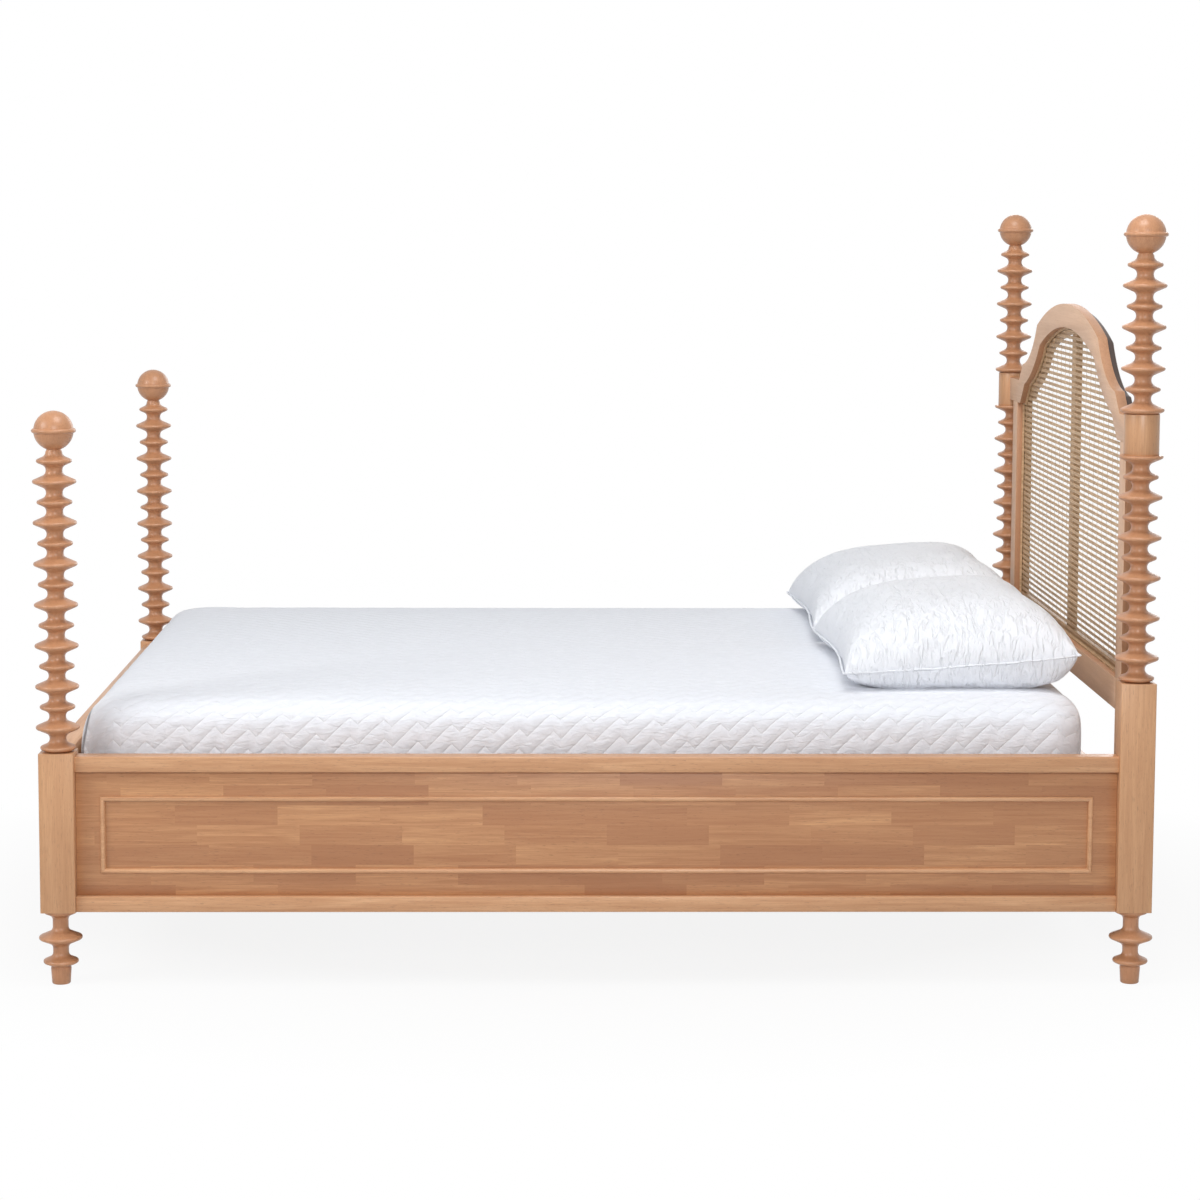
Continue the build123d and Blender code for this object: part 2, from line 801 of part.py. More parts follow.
board_pieces = headboard()
for side_name, side in sides.items():
    save(f"foot_block_{side_name}", post_block(foot_x, side, foot_block_height))
    head_block = post_block(head_x, side, head_block_height)
    save(f"head_block_{side_name}", head_block - board_pieces["headboard_bottom_rail"])

legs = [
    Pos(x, side * post_y, 0) * turned_leg() for x in (foot_x, head_x) for side in sides.values()
]
save("turned_legs", *legs)
foot_spindle = ball_spindle(foot_block_top, foot_disc_count)
lower_spindle = collar_spindle(head_block_top, collar_bottom, head_lower_disc_count)
upper_spindle = ball_spindle(collar_top, head_upper_disc_count)
save("foot_post_spindles", *[Pos(foot_x, side * post_y, 0) * foot_spindle for side in sides.values()])
save("head_post_lower_spindles", *[Pos(head_x, side * post_y, 0) * lower_spindle for side in sides.values()])
save("head_post_upper_spindles", *[Pos(head_x, side * post_y, 0) * upper_spindle for side in sides.values()])
save("head_post_collars", *[collar(side) for side in sides.values()])

side_length = head_x - foot_x - block_side
foot_length = 2 * post_y - block_side
rail_places = {
    "side_rail_left": (side_length, Pos(0, post_y + half_block, 0)),
    "side_rail_right": (side_length, Pos(0, -post_y - half_block, 0) * Rot(0, 0, 180)),
    "foot_rail": (foot_length, Pos(foot_x - half_block, 0, 0) * Rot(0, 0, 90)),
}
for rail_name, (length, place) in rail_places.items():
    for piece_name, piece in zip(("cap", "base", "panel", "bead"), panelled_rail(length)):
        save(f"{rail_name}_{piece_name}", place * piece)

head_rail_width = post_y - half_block
save(
    "head_cross_rail",
    bar(
        (head_rail_face_x, head_rail_face_x + head_rail_thickness),
        (-head_rail_width, head_rail_width),
        (slat_top - head_rail_height, slat_top),
    ),
)
for side_name, side in sides.items():
    save(
        f"slat_ledger_{side_name}",
        bar(
            (-side_length / 2, side_length / 2),
            (side * panel_inner_y, side * (panel_inner_y - ledger_thickness)),
            (ledger_top - ledger_height, ledger_top),
        ),
    )
slat_half_length = panel_inner_y - slat_end_clearance
slat_span = side_length - 2 * slat_end_margin
slat_places = [slat_span * (index / (slat_count - 1) - 0.5) for index in range(slat_count)]
save(
    "slats",
    *[
        bar(
            (x - slat_width / 2, x + slat_width / 2),
            (-slat_half_length, slat_half_length),
            (ledger_top, slat_top),
        )
        for x in slat_places
    ],
)
strap_half_length = slat_span / 2 + slat_width / 2
strap_y = slat_half_length - strap_inset
save(
    "slat_straps",
    *[
        bar(
            (-strap_half_length, strap_half_length),
            (side * strap_y - strap_width / 2, side * strap_y + strap_width / 2),
            (ledger_top - strap_thickness, ledger_top),
        )
        for side in sides.values()
    ],
)
half_beam = beam_width / 2
save(
    "centre_beam",
    bar((panel_inner_x, head_rail_face_x), (-half_beam, half_beam), (beam_bottom, ledger_top)),
)
save("centre_beam_hangers", hanger(panel_inner_x, 1), hanger(head_rail_face_x, -1))
half_leg = centre_leg_side / 2
centre_leg_places = [centre_leg_spacing * index for index in (-1, 0, 1)]
save(
    "centre_legs",
    *[
        bar((x - half_leg, x + half_leg), (-half_leg, half_leg), (glide_height, beam_bottom))
        for x in centre_leg_places
    ],
)
save(
    "centre_leg_glides",
    *[rod(glide_radius, (x, 0, 0), (x, 0, glide_height), "Z") for x in centre_leg_places],
)
save("corner_brackets", *corner_brackets())
save("bed_bolts", *[bolt(*place) for place in bracket_bolt_places()])

for name, piece in board_pieces.items():
    save(name, piece)
for name, piece in back_frame().items():
    save(name, piece)
save("headboard_dowels", *[tab_dowel(side) for side in sides.values()])

save("mattress", mattress())
for side_name, side in sides.items():
    save(f"pillow_{side_name}", pillow(side))
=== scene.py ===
"""A four-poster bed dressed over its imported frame.

The posts are turned, the headboard is caned, the rails are panelled, and a quilted
mattress and two crinkled pillows lie on the slats. Lengths are in metres in the
frame's own axes, with +X to the head, +Y to the far side and +Z up.
"""

from __future__ import annotations

import json
import logging
import math
from collections.abc import Iterable
from dataclasses import dataclass, field
from enum import Enum

import bmesh
import bpy
from mathutils import Matrix, Vector, noise

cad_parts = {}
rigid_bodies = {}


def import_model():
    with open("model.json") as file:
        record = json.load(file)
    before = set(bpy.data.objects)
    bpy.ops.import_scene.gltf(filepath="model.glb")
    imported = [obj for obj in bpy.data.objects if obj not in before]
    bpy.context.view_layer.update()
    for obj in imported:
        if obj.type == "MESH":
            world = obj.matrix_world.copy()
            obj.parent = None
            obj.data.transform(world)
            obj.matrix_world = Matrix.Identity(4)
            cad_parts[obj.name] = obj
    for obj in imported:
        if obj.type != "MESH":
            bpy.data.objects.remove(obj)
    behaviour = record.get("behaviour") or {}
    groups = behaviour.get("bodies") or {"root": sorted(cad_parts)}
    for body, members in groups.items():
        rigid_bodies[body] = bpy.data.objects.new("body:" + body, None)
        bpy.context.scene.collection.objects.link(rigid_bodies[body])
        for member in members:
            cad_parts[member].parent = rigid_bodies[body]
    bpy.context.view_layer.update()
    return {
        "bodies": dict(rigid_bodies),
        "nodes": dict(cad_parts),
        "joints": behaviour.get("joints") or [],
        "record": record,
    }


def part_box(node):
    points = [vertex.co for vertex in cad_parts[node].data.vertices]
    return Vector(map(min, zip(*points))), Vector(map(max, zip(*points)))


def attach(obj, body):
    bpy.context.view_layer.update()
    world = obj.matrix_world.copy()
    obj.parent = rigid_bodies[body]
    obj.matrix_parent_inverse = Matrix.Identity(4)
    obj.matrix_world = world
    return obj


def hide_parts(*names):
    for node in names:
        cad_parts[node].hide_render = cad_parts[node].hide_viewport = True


LOG = logging.getLogger("bed")
Colour = tuple[int, int, int]
Piece = bpy.types.Object
Profile = list[tuple[float, float]]
Scale = tuple[float, float, float]
Socket = bpy.types.NodeSocket


def linear(colour: Colour) -> tuple[float, float, float, float]:
    """Turn a display colour into the linear values that a shader takes.

    Args:
        colour: Red, green and blue, from 0 to 255.

    Returns:
        The linear colour with full alpha.
    """
    values = []
    for channel in colour:
        share = channel / 255
        low = share / 12.92
        high = ((share + 0.055) / 1.055) ** 2.4
        values.append(low if share <= 0.04045 else high)
    return (*values, 1.0)


def arc(across: float, height: float, radius: float, start: float, end: float, steps: int) -> Profile:
    """Points along an arc.

    Args:
        across: The distance of its middle from the axis.
        height: The height of its middle.
        radius: Its radius, less than 0 for the side that faces the axis.
        start: The turn that it starts at, in radians.
        end: The turn that it ends at.
        steps: How many steps it is drawn in.

    Returns:
        Radius and height pairs.
    """
    points = []
    for step in range(steps + 1):
        turn = start + (end - start) * step / steps
        points.append((across + radius * math.cos(turn), height + radius * math.sin(turn)))
    return points


class Axis(Enum):
    """The axis that a board's grain follows."""

    X = 0
    Y = 1
    Z = 2


class Bench:
    """The workbench: selecting, copying and finishing meshes.

    Attributes:
        WELD: The distance within which loose points are one point.
        FLAT: The angle in degrees under which neighbouring faces are one face.
    """

    WELD = 0.00002
    FLAT = 0.6

    @staticmethod
    def free() -> None:
        """Leave nothing selected."""
        for other in bpy.context.selected_objects:
            other.select_set(False)

    @classmethod
    def hold(cls, piece: Piece) -> None:
        """Select one piece alone and make it active.

        Args:
            piece: The piece.
        """
        cls.free()
        piece.select_set(True)
        bpy.context.view_layer.objects.active = piece

    @classmethod
    def apply(cls, piece: Piece, kind: str, **settings: object) -> None:
        """Add a modifier to a piece and apply it.

        Args:
            piece: The piece to change.
            kind: The modifier's type.
            settings: The modifier's values.
        """
        modifier = piece.modifiers.new(kind.title(), kind)
        for name, value in settings.items():
            setattr(modifier, name, value)
        cls.hold(piece)
        bpy.ops.object.modifier_apply(modifier=modifier.name)

    @classmethod
    def settle(cls, piece: Piece) -> None:
        """Move a piece's place, turn and scale into its mesh."""
        cls.hold(piece)
        bpy.ops.object.transform_apply(location=True, rotation=True, scale=True)

    @classmethod
    def smooth(cls, piece: Piece, angle: float = 30.0) -> None:
        """Shade a piece smooth wherever its faces meet at less than an angle in degrees."""
        cls.hold(piece)
        bpy.ops.object.shade_smooth_by_angle(angle=math.radians(angle))

    @classmethod
    def duplicate(cls, piece: Piece, name: str) -> Piece:
        """Copy a piece with a mesh of its own.

        Args:
            piece: The piece to copy.
            name: The copy's name.

        Returns:
            The copy, with no parent.
        """
        cls.hold(piece)
        bpy.ops.object.duplicate(linked=False)
        copy = bpy.context.active_object
        copy.name = name
        copy.data.name = name
        copy.parent = None
        for key in list(copy.keys()):
            if key.startswith("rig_"):
                del copy[key]
        return copy

    @classmethod
    def join(cls, pieces: list[Piece], name: str) -> Piece:
        """Join pieces into the first and name the result.

        Args:
            pieces: The pieces to join.
            name: The joined piece's name.

        Returns:
            The joined piece.
        """
        cls.hold(pieces[0])
        for piece in pieces[1:]:
            piece.select_set(True)
        bpy.ops.object.join()
        joined = bpy.context.active_object
        joined.name = name
        joined.data.name = name
        return joined

    @classmethod
    def enter(cls, piece: Piece) -> None:
        """Enter a piece's mesh with all of it selected.

        Args:
            piece: The piece.
        """
        cls.hold(piece)
        bpy.ops.object.mode_set(mode="EDIT")
        bpy.ops.mesh.select_all(action="SELECT")

    @staticmethod
    def leave() -> None:
        """Go back from a piece's mesh to the piece."""
        bpy.ops.object.mode_set(mode="OBJECT")

    @classmethod
    def clean_copy(cls, node: Piece, name: str) -> Piece:
        """Copy a frame node, weld its loose triangles and clear its flat faces of extra edges.

        Args:
            node: The node to copy.
            name: The copy's name.

        Returns:
            The copy as a clean closed mesh.
        """
        copy = cls.duplicate(node, name)
        copy.data.materials.clear()
        cls.enter(copy)
        bpy.ops.mesh.remove_doubles(threshold=cls.WELD)
        bpy.ops.mesh.dissolve_limited(angle_limit=math.radians(cls.FLAT))
        cls.leave()
        copy.hide_render = False
        return copy

    @staticmethod
    def ride(piece: Piece, body: str, slot: str, *nodes: str) -> None:
        """Give a finished piece to its body, in place of frame nodes.

        Args:
            piece: The finished piece.
            body: The body that carries it.
            slot: Not used.
            nodes: The frame nodes that it stands for.
        """
        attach(piece, body)
        if nodes:
            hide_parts(*nodes)
        LOG.info("%s: %d faces", piece.name, len(piece.data.polygons))


class Shader:
    """A material being wired, with one method for each kind of node it needs."""

    def __init__(self, name: str) -> None:
        """Start a material with a single surface shader."""
        self.material = bpy.data.materials.new(name)
        self.material.use_nodes = True
        self.tree = self.material.node_tree
        self.surface = self.tree.nodes["Principled BSDF"]

    def node(self, kind: str, **settings: object) -> bpy.types.ShaderNode:
        """Add a node and set its properties.

        Args:
            kind: The node's type.
            settings: Its properties.

        Returns:
            The node.
        """
        made = self.tree.nodes.new(kind)
        for name, value in settings.items():
            setattr(made, name, value)
        return made

    def feed(self, socket: Socket, value: object) -> None:
        """Link an output into a socket, or write a plain value there.

        Args:
            socket: The socket to fill.
            value: An output, or a number or colour.
        """
        if isinstance(value, Socket):
            self.tree.links.new(value, socket)
        else:
            socket.default_value = value

    def place(self) -> Socket:
        """The piece's own coordinates."""
        return self.node("ShaderNodeTexCoord").outputs["Object"]

    def chart(self) -> Socket:
        """The piece's unfolded surface, in metres."""
        return self.node("ShaderNodeTexCoord").outputs["UV"]

    def maths(self, operation: str, first: object, second: object = 0.0) -> Socket:
        """One arithmetic step on two values.

        Args:
            operation: The step.
            first: The first value.
            second: The second value.

        Returns:
            The result.
        """
        made = self.node("ShaderNodeMath", operation=operation)
        self.feed(made.inputs[0], first)
        self.feed(made.inputs[1], second)
        return made.outputs[0]

    def split(self, vector: Socket) -> list[Socket]:
        """The three parts of a vector.

        Args:
            vector: The vector.

        Returns:
            Its X, Y and Z.
        """
        made = self.node("ShaderNodeSeparateXYZ")
        self.feed(made.inputs[0], vector)
        return list(made.outputs)

    def vector(self, *parts: object) -> Socket:
        """A vector of three parts.

        Args:
            parts: Outputs or numbers.

        Returns:
            The vector.
        """
        made = self.node("ShaderNodeCombineXYZ")
        for socket, part in zip(made.inputs, parts):
            self.feed(socket, part)
        return made.outputs[0]

    def stretch(self, vector: object, scale: Scale) -> Socket:
        """A vector scaled by a different amount on each axis.

        Args:
            vector: The vector.
            scale: The scale on each axis.

        Returns:
            The scaled vector.
        """
        made = self.node("ShaderNodeMapping")
        self.feed(made.inputs["Vector"], vector)
        made.inputs["Scale"].default_value = scale
        return made.outputs[0]

    def noise(self, vector: object, scale: float, detail: float, twist: float = 0.0) -> Socket:
        """A cloudy value from 0 to 1.

        Args:
            vector: Where the cloud is read.
            scale: How fine it is.
            detail: How many finer layers it has.
            twist: How far it swirls.

        Returns:
            The value.
        """
        made = self.node("ShaderNodeTexNoise")
        self.feed(made.inputs["Vector"], vector)
        made.inputs["Scale"].default_value = scale
        made.inputs["Detail"].default_value = detail
        made.inputs["Distortion"].default_value = twist
        return made.outputs["Fac"]

    def chance(self, vector: object) -> Socket:
        """A random value for each whole-numbered place.

        Args:
            vector: The place.

        Returns:
            The value, from 0 to 1.
        """
        made = self.node("ShaderNodeTexWhiteNoise", noise_dimensions="3D")
        self.feed(made.inputs["Vector"], vector)
        return made.outputs["Value"]

    def span(self, value: object, low: float, high: float, to_low: float, to_high: float) -> object:
        """A value moved from one range to another and held inside it.

        Args:
            value: The value.
            low: The low end of its range.
            high: The high end.
            to_low: What the low end becomes.
            to_high: What the high end becomes.

        Returns:
            The moved value.
        """
        made = self.node("ShaderNodeMapRange", clamp=True)
        self.feed(made.inputs["Value"], value)
        ends = {"From Min": low, "From Max": high, "To Min": to_low, "To Max": to_high}
        for name, number in ends.items():
            made.inputs[name].default_value = number
        return made.outputs["Result"]

    def blend(self, share: object, first: object, second: object) -> object:
        """A colour between two, by a share from 0 to 1.

        Args:
            share: How much of the second shows.
            first: The first colour.
            second: The second colour.

        Returns:
            The colour.
        """
        made = self.node("ShaderNodeMix", data_type="RGBA", blend_type="MIX")
        self.feed(made.inputs[0], share)
        self.feed(made.inputs[6], first)
        self.feed(made.inputs[7], second)
        return made.outputs[2]

    def relief(self, height: object, depth: float) -> None:
        """Raise the surface by a height from 0 to 1.

        Args:
            height: The height's output.
            depth: The depth of the relief in metres.
        """
        made = self.node("ShaderNodeBump")
        made.inputs["Strength"].default_value = 1.0
        made.inputs["Distance"].default_value = depth
        self.feed(made.inputs["Height"], height)
        self.feed(self.surface.inputs["Normal"], made.outputs["Normal"])


@dataclass(frozen=True)
class Wood:
    """A satin timber with streaks along the grain, short pores and, if jointed, staves.

    Attributes:
        name: The finish's name.
        light: The colour between streaks.
        dark: The colour of streaks.
        grain: The axis that the grain follows.
        stave: The width and length of a stave, or None for a single board.
        stave_dark: The colour that the darkest staves lean to.
        roughness: How dull the lacquer is.
        figure: How strongly the streaks show.
        relief: The depth of fibres and pores.
        flow: How the broad bands stretch along and across the grain.
        streaks: How the streaks stretch.
        fibres: How the fibres stretch.
        pores: How the pores stretch.
        coat: How much clear lacquer lies on top.
        coat_roughness: How dull that lacquer is.
    """

    name: str
    light: Colour
    dark: Colour
    grain: Axis
    stave: tuple[float, float] | None = None
    stave_dark: Colour = (166, 112, 76)
    roughness: float = 0.36
    figure: float = 1.0
    relief: float = 0.00014
    flow: Scale = (1.1, 9.0, 9.0)
    streaks: Scale = (1.6, 42.0, 42.0)
    fibres: Scale = (14.0, 420.0, 420.0)
    pores: Scale = (70.0, 900.0, 900.0)
    coat: float = 0.12
    coat_roughness: float = 0.24

    def along(self, shader: Shader) -> tuple[object, object, object]:
        """Coordinates with the grain's own axis first.

        Args:
            shader: The material being wired.

        Returns:
            The three coordinates.
        """
        parts = shader.split(shader.place())
        order = [self.grain.value] + [i for i in range(3) if i != self.grain.value]
        return tuple(parts[i] for i in order)

    def staves(self, shader: Shader, parts: tuple[object, object, object]) -> tuple[object, object]:
        """A random tone for each stave, and a shift that breaks the grain between staves.

        Args:
            shader: The material being wired.
            parts: The coordinates with the grain's axis first and the width last.

        Returns:
            The stave's tone and its shift along the grain.
        """
        width, length = self.stave
        row = shader.maths("FLOOR", shader.maths("DIVIDE", parts[2], width))
        start = shader.chance(shader.vector(row, 0.37, 0.11))
        reach = shader.maths("ADD", shader.maths("DIVIDE", parts[0], length), start)
        column = shader.maths("FLOOR", reach)
        tone = shader.chance(shader.vector(row, column, 0.53))
        shift = shader.maths("MULTIPLY", shader.chance(shader.vector(column, row, 0.91)), 7.0)
        return tone, shift

    def make(self) -> bpy.types.Material:
        """Wire the timber's colour, gloss and relief.

        Returns:
            The timber's material.
        """
        shader = Shader(self.name)
        parts = self.along(shader)
        tone = None
        if self.stave:
            tone, shift = self.staves(shader, parts)
            parts = (parts[0], shader.maths("ADD", parts[1], shift), parts[2])
        place = shader.vector(*parts)
        dark = linear(self.dark)
        broad = shader.noise(shader.stretch(place, self.flow), 1.6, 3.0, 0.6)
        streak = shader.noise(shader.stretch(place, self.streaks), 2.4, 4.0, 0.9)
        fibre = shader.noise(shader.stretch(place, self.fibres), 1.5, 3.0, 0.3)
        pore = shader.noise(shader.stretch(place, self.pores), 1.0, 1.0)
        streaked = shader.span(streak, 0.32, 0.72, 0.0, 0.75 * self.figure)
        colour = shader.blend(streaked, linear(self.light), dark)
        colour = shader.blend(shader.span(broad, 0.35, 0.7, 0.0, 0.4 * self.figure), colour, dark)
        if tone is not None:
            lean = shader.span(tone, 0.15, 1.0, 0.0, 0.72)
            colour = shader.blend(lean, colour, linear(self.stave_dark))
        colour = shader.blend(shader.span(fibre, 0.38, 0.7, 0.0, 0.45), colour, dark)
        deep = tuple(int(channel * 0.62) for channel in self.dark)
        colour = shader.blend(shader.span(pore, 0.66, 0.72, 0.0, 0.35), colour, linear(deep))
        shader.feed(shader.surface.inputs["Base Color"], colour)
        dull = shader.span(streak, 0.2, 0.8, self.roughness - 0.04, self.roughness + 0.08)
        shader.feed(shader.surface.inputs["Roughness"], dull)
        height = shader.maths("SUBTRACT", fibre, shader.span(pore, 0.66, 0.72, 0.0, 0.7))
        shader.surface.inputs["Coat Weight"].default_value = self.coat
        shader.surface.inputs["Coat Roughness"].default_value = self.coat_roughness
        shader.relief(height, self.relief)
        return shader.material


@dataclass(frozen=True)
class Cane:
    """Split cane: pale, faintly striped along each strand, with a dull sheen.

    Attributes:
        name: The finish's name.
        light: The colour between stripes.
        dark: The colour of stripes.
    """

    name: str = "split_cane"
    light: Colour = (222, 188, 148)
    dark: Colour = (178, 142, 104)

    def make(self) -> bpy.types.Material:
        """Wire the cane's colour and relief.

        Returns:
            The cane's material.
        """
        shader = Shader(self.name)
        place = shader.place()
        patch = shader.noise(shader.stretch(place, (1.0, 9.0, 60.0)), 3.0, 3.0)
        stripe = shader.noise(shader.stretch(place, (1.0, 30.0, 900.0)), 1.5, 2.0)
        colour = shader.blend(shader.span(patch, 0.35, 0.7, 0.0, 0.8), linear(self.light), linear(self.dark))
        colour = shader.blend(shader.span(stripe, 0.4, 0.7, 0.0, 0.5), colour, linear(self.dark))
        shader.feed(shader.surface.inputs["Base Color"], colour)
        shader.surface.inputs["Roughness"].default_value = 0.55
        shader.relief(stripe, 0.0002)
        return shader.material


@dataclass(frozen=True)
class Plain:
    """A fitting's finish: lacquered steel, moulded plastic or webbing, with a fine mottle.

    Attributes:
        name: The finish's name.
        colour: Its darker tone.
        roughness: How dull it is.
        metallic: How far it shines as metal does.
        pitch: How fine the mottle is.
    """

    name: str
    colour: Colour
    roughness: float
    metallic: float = 0.0
    pitch: float = 900.0

    def make(self) -> bpy.types.Material:
        """Wire the finish's colour, gloss and fine relief.

        Returns:
            The fitting's material.
        """
        shader = Shader(self.name)
        mottle = shader.noise(shader.place(), self.pitch, 2.0)
        paler = tuple(min(255, int(channel * 1.18) + 4) for channel in self.colour)
        shader.feed(
            shader.surface.inputs["Base Color"],
            shader.blend(shader.span(mottle, 0.3, 0.7, 0.0, 1.0), linear(self.colour), linear(paler)),
        )
        shader.surface.inputs["Metallic"].default_value = self.metallic
        dull = shader.span(mottle, 0.3, 0.7, self.roughness - 0.05, self.roughness + 0.06)
        shader.feed(shader.surface.inputs["Roughness"], dull)
        shader.relief(mottle, 0.00008)
        return shader.material


@dataclass(frozen=True)
class QuiltedCover:
    """White quilting: stepped rows of stitches, puffed between, with a fine crinkle.

    Attributes:
        name: The finish's name.
        colour: The cloth's colour.
        rise: The horizontal run of a stitch line's long leg.
        fall: The horizontal run of its short leg.
        spacing: The distance between stitch lines, measured up the cloth.
        wander: How far the stitch lines stray.
        relief: How deep the quilting is.
        fold_heights: The heights of the tucked corner's fold, low and high.
        fold_places: The fold's places along the bed at those heights.
        fold_edges: Where the fold is darkest and where it ends, from its middle.
        fold_top: The heights over which the fold dies out.
        near_side: The places across the bed over which the fold dies out.
    """

    name: str = "quilted_cover"
    colour: Colour = (238, 240, 246)
    rise: float = 0.052
    fall: float = 0.016
    spacing: float = 0.041
    wander: float = 0.012
    relief: float = 0.0018
    fold_heights: tuple[float, float] = (0.46, 0.55)
    fold_places: tuple[float, float] = (-1.044, -1.026)
    fold_edges: tuple[float, float] = (0.001, 0.0045)
    fold_top: tuple[float, float] = (0.525, 0.548)
    near_side: tuple[float, float] = (-0.66, -0.65)

    def stitches(self, shader: Shader, across: object, up: object) -> object:
        """How far a point is from the nearest line of stitches, from 0 on it to 1 midway.

        Args:
            shader: The material being wired.
            across: The distance along the rows.
            up: The distance up the cloth.

        Returns:
            The distance, from 0 to 1.
        """
        period = self.rise + self.fall
        count = shader.maths("FLOOR", shader.maths("DIVIDE", across, period))
        rest = shader.maths("SUBTRACT", across, shader.maths("MULTIPLY", count, period))
        climb = shader.maths("MINIMUM", rest, self.rise)
        drop = shader.maths("MAXIMUM", shader.maths("SUBTRACT", rest, self.rise), 0.0)
        step = shader.maths("MULTIPLY", count, self.rise - self.fall)
        line = shader.maths("ADD", step, shader.maths("SUBTRACT", climb, drop))
        offset = shader.maths("SUBTRACT", up, line)
        share = shader.maths("FRACT", shader.maths("DIVIDE", offset, self.spacing))
        return shader.maths("MULTIPLY", shader.maths("PINGPONG", share, 0.5), 2.0)

    def corner_fold_and_shadow(self, shader: Shader) -> object:
        """One along the deep upright fold where the cover is tucked in at the near foot corner, which both
        dents the cover and darkens it with a painted shadow.

        Args:
            shader: The material being wired.

        Returns:
            How strongly the fold's dent and painted shadow show, from 0 to 1.
        """
        x, y, z = shader.split(shader.place())
        line = shader.span(z, *self.fold_heights, *self.fold_places)
        away = shader.maths("ABSOLUTE", shader.maths("SUBTRACT", x, line))
        narrow = shader.span(away, *self.fold_edges, 1.0, 0.0)
        tucked = shader.span(z, *self.fold_top, 1.0, 0.0)
        near = shader.span(y, *self.near_side, 1.0, 0.0)
        return shader.maths("MULTIPLY", narrow, shader.maths("MULTIPLY", tucked, near))

    def make(self) -> bpy.types.Material:
        """Wire the quilting's relief, crinkle and soft sheen.

        Returns:
            The cover's material.
        """
        shader = Shader(self.name)
        chart = shader.chart()
        stray = shader.noise(chart, 9.0, 2.0)
        across, up, _ = shader.split(chart)
        across = shader.maths("ADD", across, shader.maths("MULTIPLY", stray, self.wander))
        gap = self.stitches(shader, across, up)
        puff = shader.maths("POWER", shader.span(gap, 0.0, 0.8, 0.0, 1.0), 0.45)
        seam = shader.span(gap, 0.0, 0.1, 1.0, 0.0)
        crinkle = shader.noise(shader.stretch(chart, (34.0, 80.0, 1.0)), 1.0, 4.0, 1.2)
        weave = shader.noise(chart, 1700.0, 1.0)
        height = shader.maths("ADD", puff, shader.maths("MULTIPLY", crinkle, 1.1))
        height = shader.maths("ADD", height, shader.maths("MULTIPLY", weave, 0.03))
        # Painted shade: the cloth turns greyer with the crinkle, to shade its relief.
        shade = shader.span(crinkle, 0.3, 0.7, 0.0, 0.3)
        grey = tuple(int(channel * 0.9) for channel in self.colour)
        colour = shader.blend(shade, linear(self.colour), linear(grey))
        colour = shader.blend(shader.maths("MULTIPLY", seam, 0.35), colour, linear((250, 250, 252)))
        fold = self.corner_fold_and_shadow(shader)
        # Painted shadow: the fold turns nearly black, as its deep crease would be in shade.
        colour = shader.blend(shader.maths("MULTIPLY", fold, 0.7), colour, linear((52, 52, 60)))
        height = shader.maths("SUBTRACT", height, shader.maths("MULTIPLY", fold, 3.0))
        shader.feed(shader.surface.inputs["Base Color"], colour)
        shader.surface.inputs["Roughness"].default_value = 0.85
        shader.surface.inputs["Sheen Weight"].default_value = 0.12
        shader.relief(height, self.relief)
        return shader.material


@dataclass(frozen=True)
class CrinkledCotton:
    """White pre-washed cotton with short ripples that run down the pillow.

    Attributes:
        name: The finish's name.
        colour: The cloth's colour.
        ripple: How fine the ripples are on each axis.
        relief: How deep the ripples are.
    """

    name: str = "crinkled_cotton"
    colour: Colour = (241, 243, 248)
    ripple: Scale = (66.0, 26.0, 20.0)
    relief: float = 0.0046

    def make(self) -> bpy.types.Material:
        """Wire the ripples, weave and soft sheen.

        Returns:
            The cotton's material.
        """
        shader = Shader(self.name)
        place = shader.place()
        ripple = shader.noise(shader.stretch(place, self.ripple), 1.6, 4.0, 1.1)
        ridge = shader.maths("ABSOLUTE", shader.maths("SUBTRACT", ripple, 0.5))
        crease = shader.span(ridge, 0.0, 0.16, 1.0, 0.0)
        weave = shader.noise(place, 1500.0, 1.0)
        height = shader.maths("MULTIPLY", ripple, 1.2)
        height = shader.maths("ADD", height, shader.maths("MULTIPLY", crease, 0.12))
        height = shader.maths("ADD", height, shader.maths("MULTIPLY", weave, 0.04))
        # Painted shade: the ripples' troughs turn greyer.
        grey = tuple(int(channel * 0.91) for channel in self.colour)
        colour = shader.blend(shader.span(ripple, 0.3, 0.7, 0.14, 0.0), linear(self.colour), linear(grey))
        shader.feed(shader.surface.inputs["Base Color"], colour)
        shader.surface.inputs["Roughness"].default_value = 0.88
        shader.surface.inputs["Sheen Weight"].default_value = 0.12
        shader.relief(height, self.relief)
        return shader.material


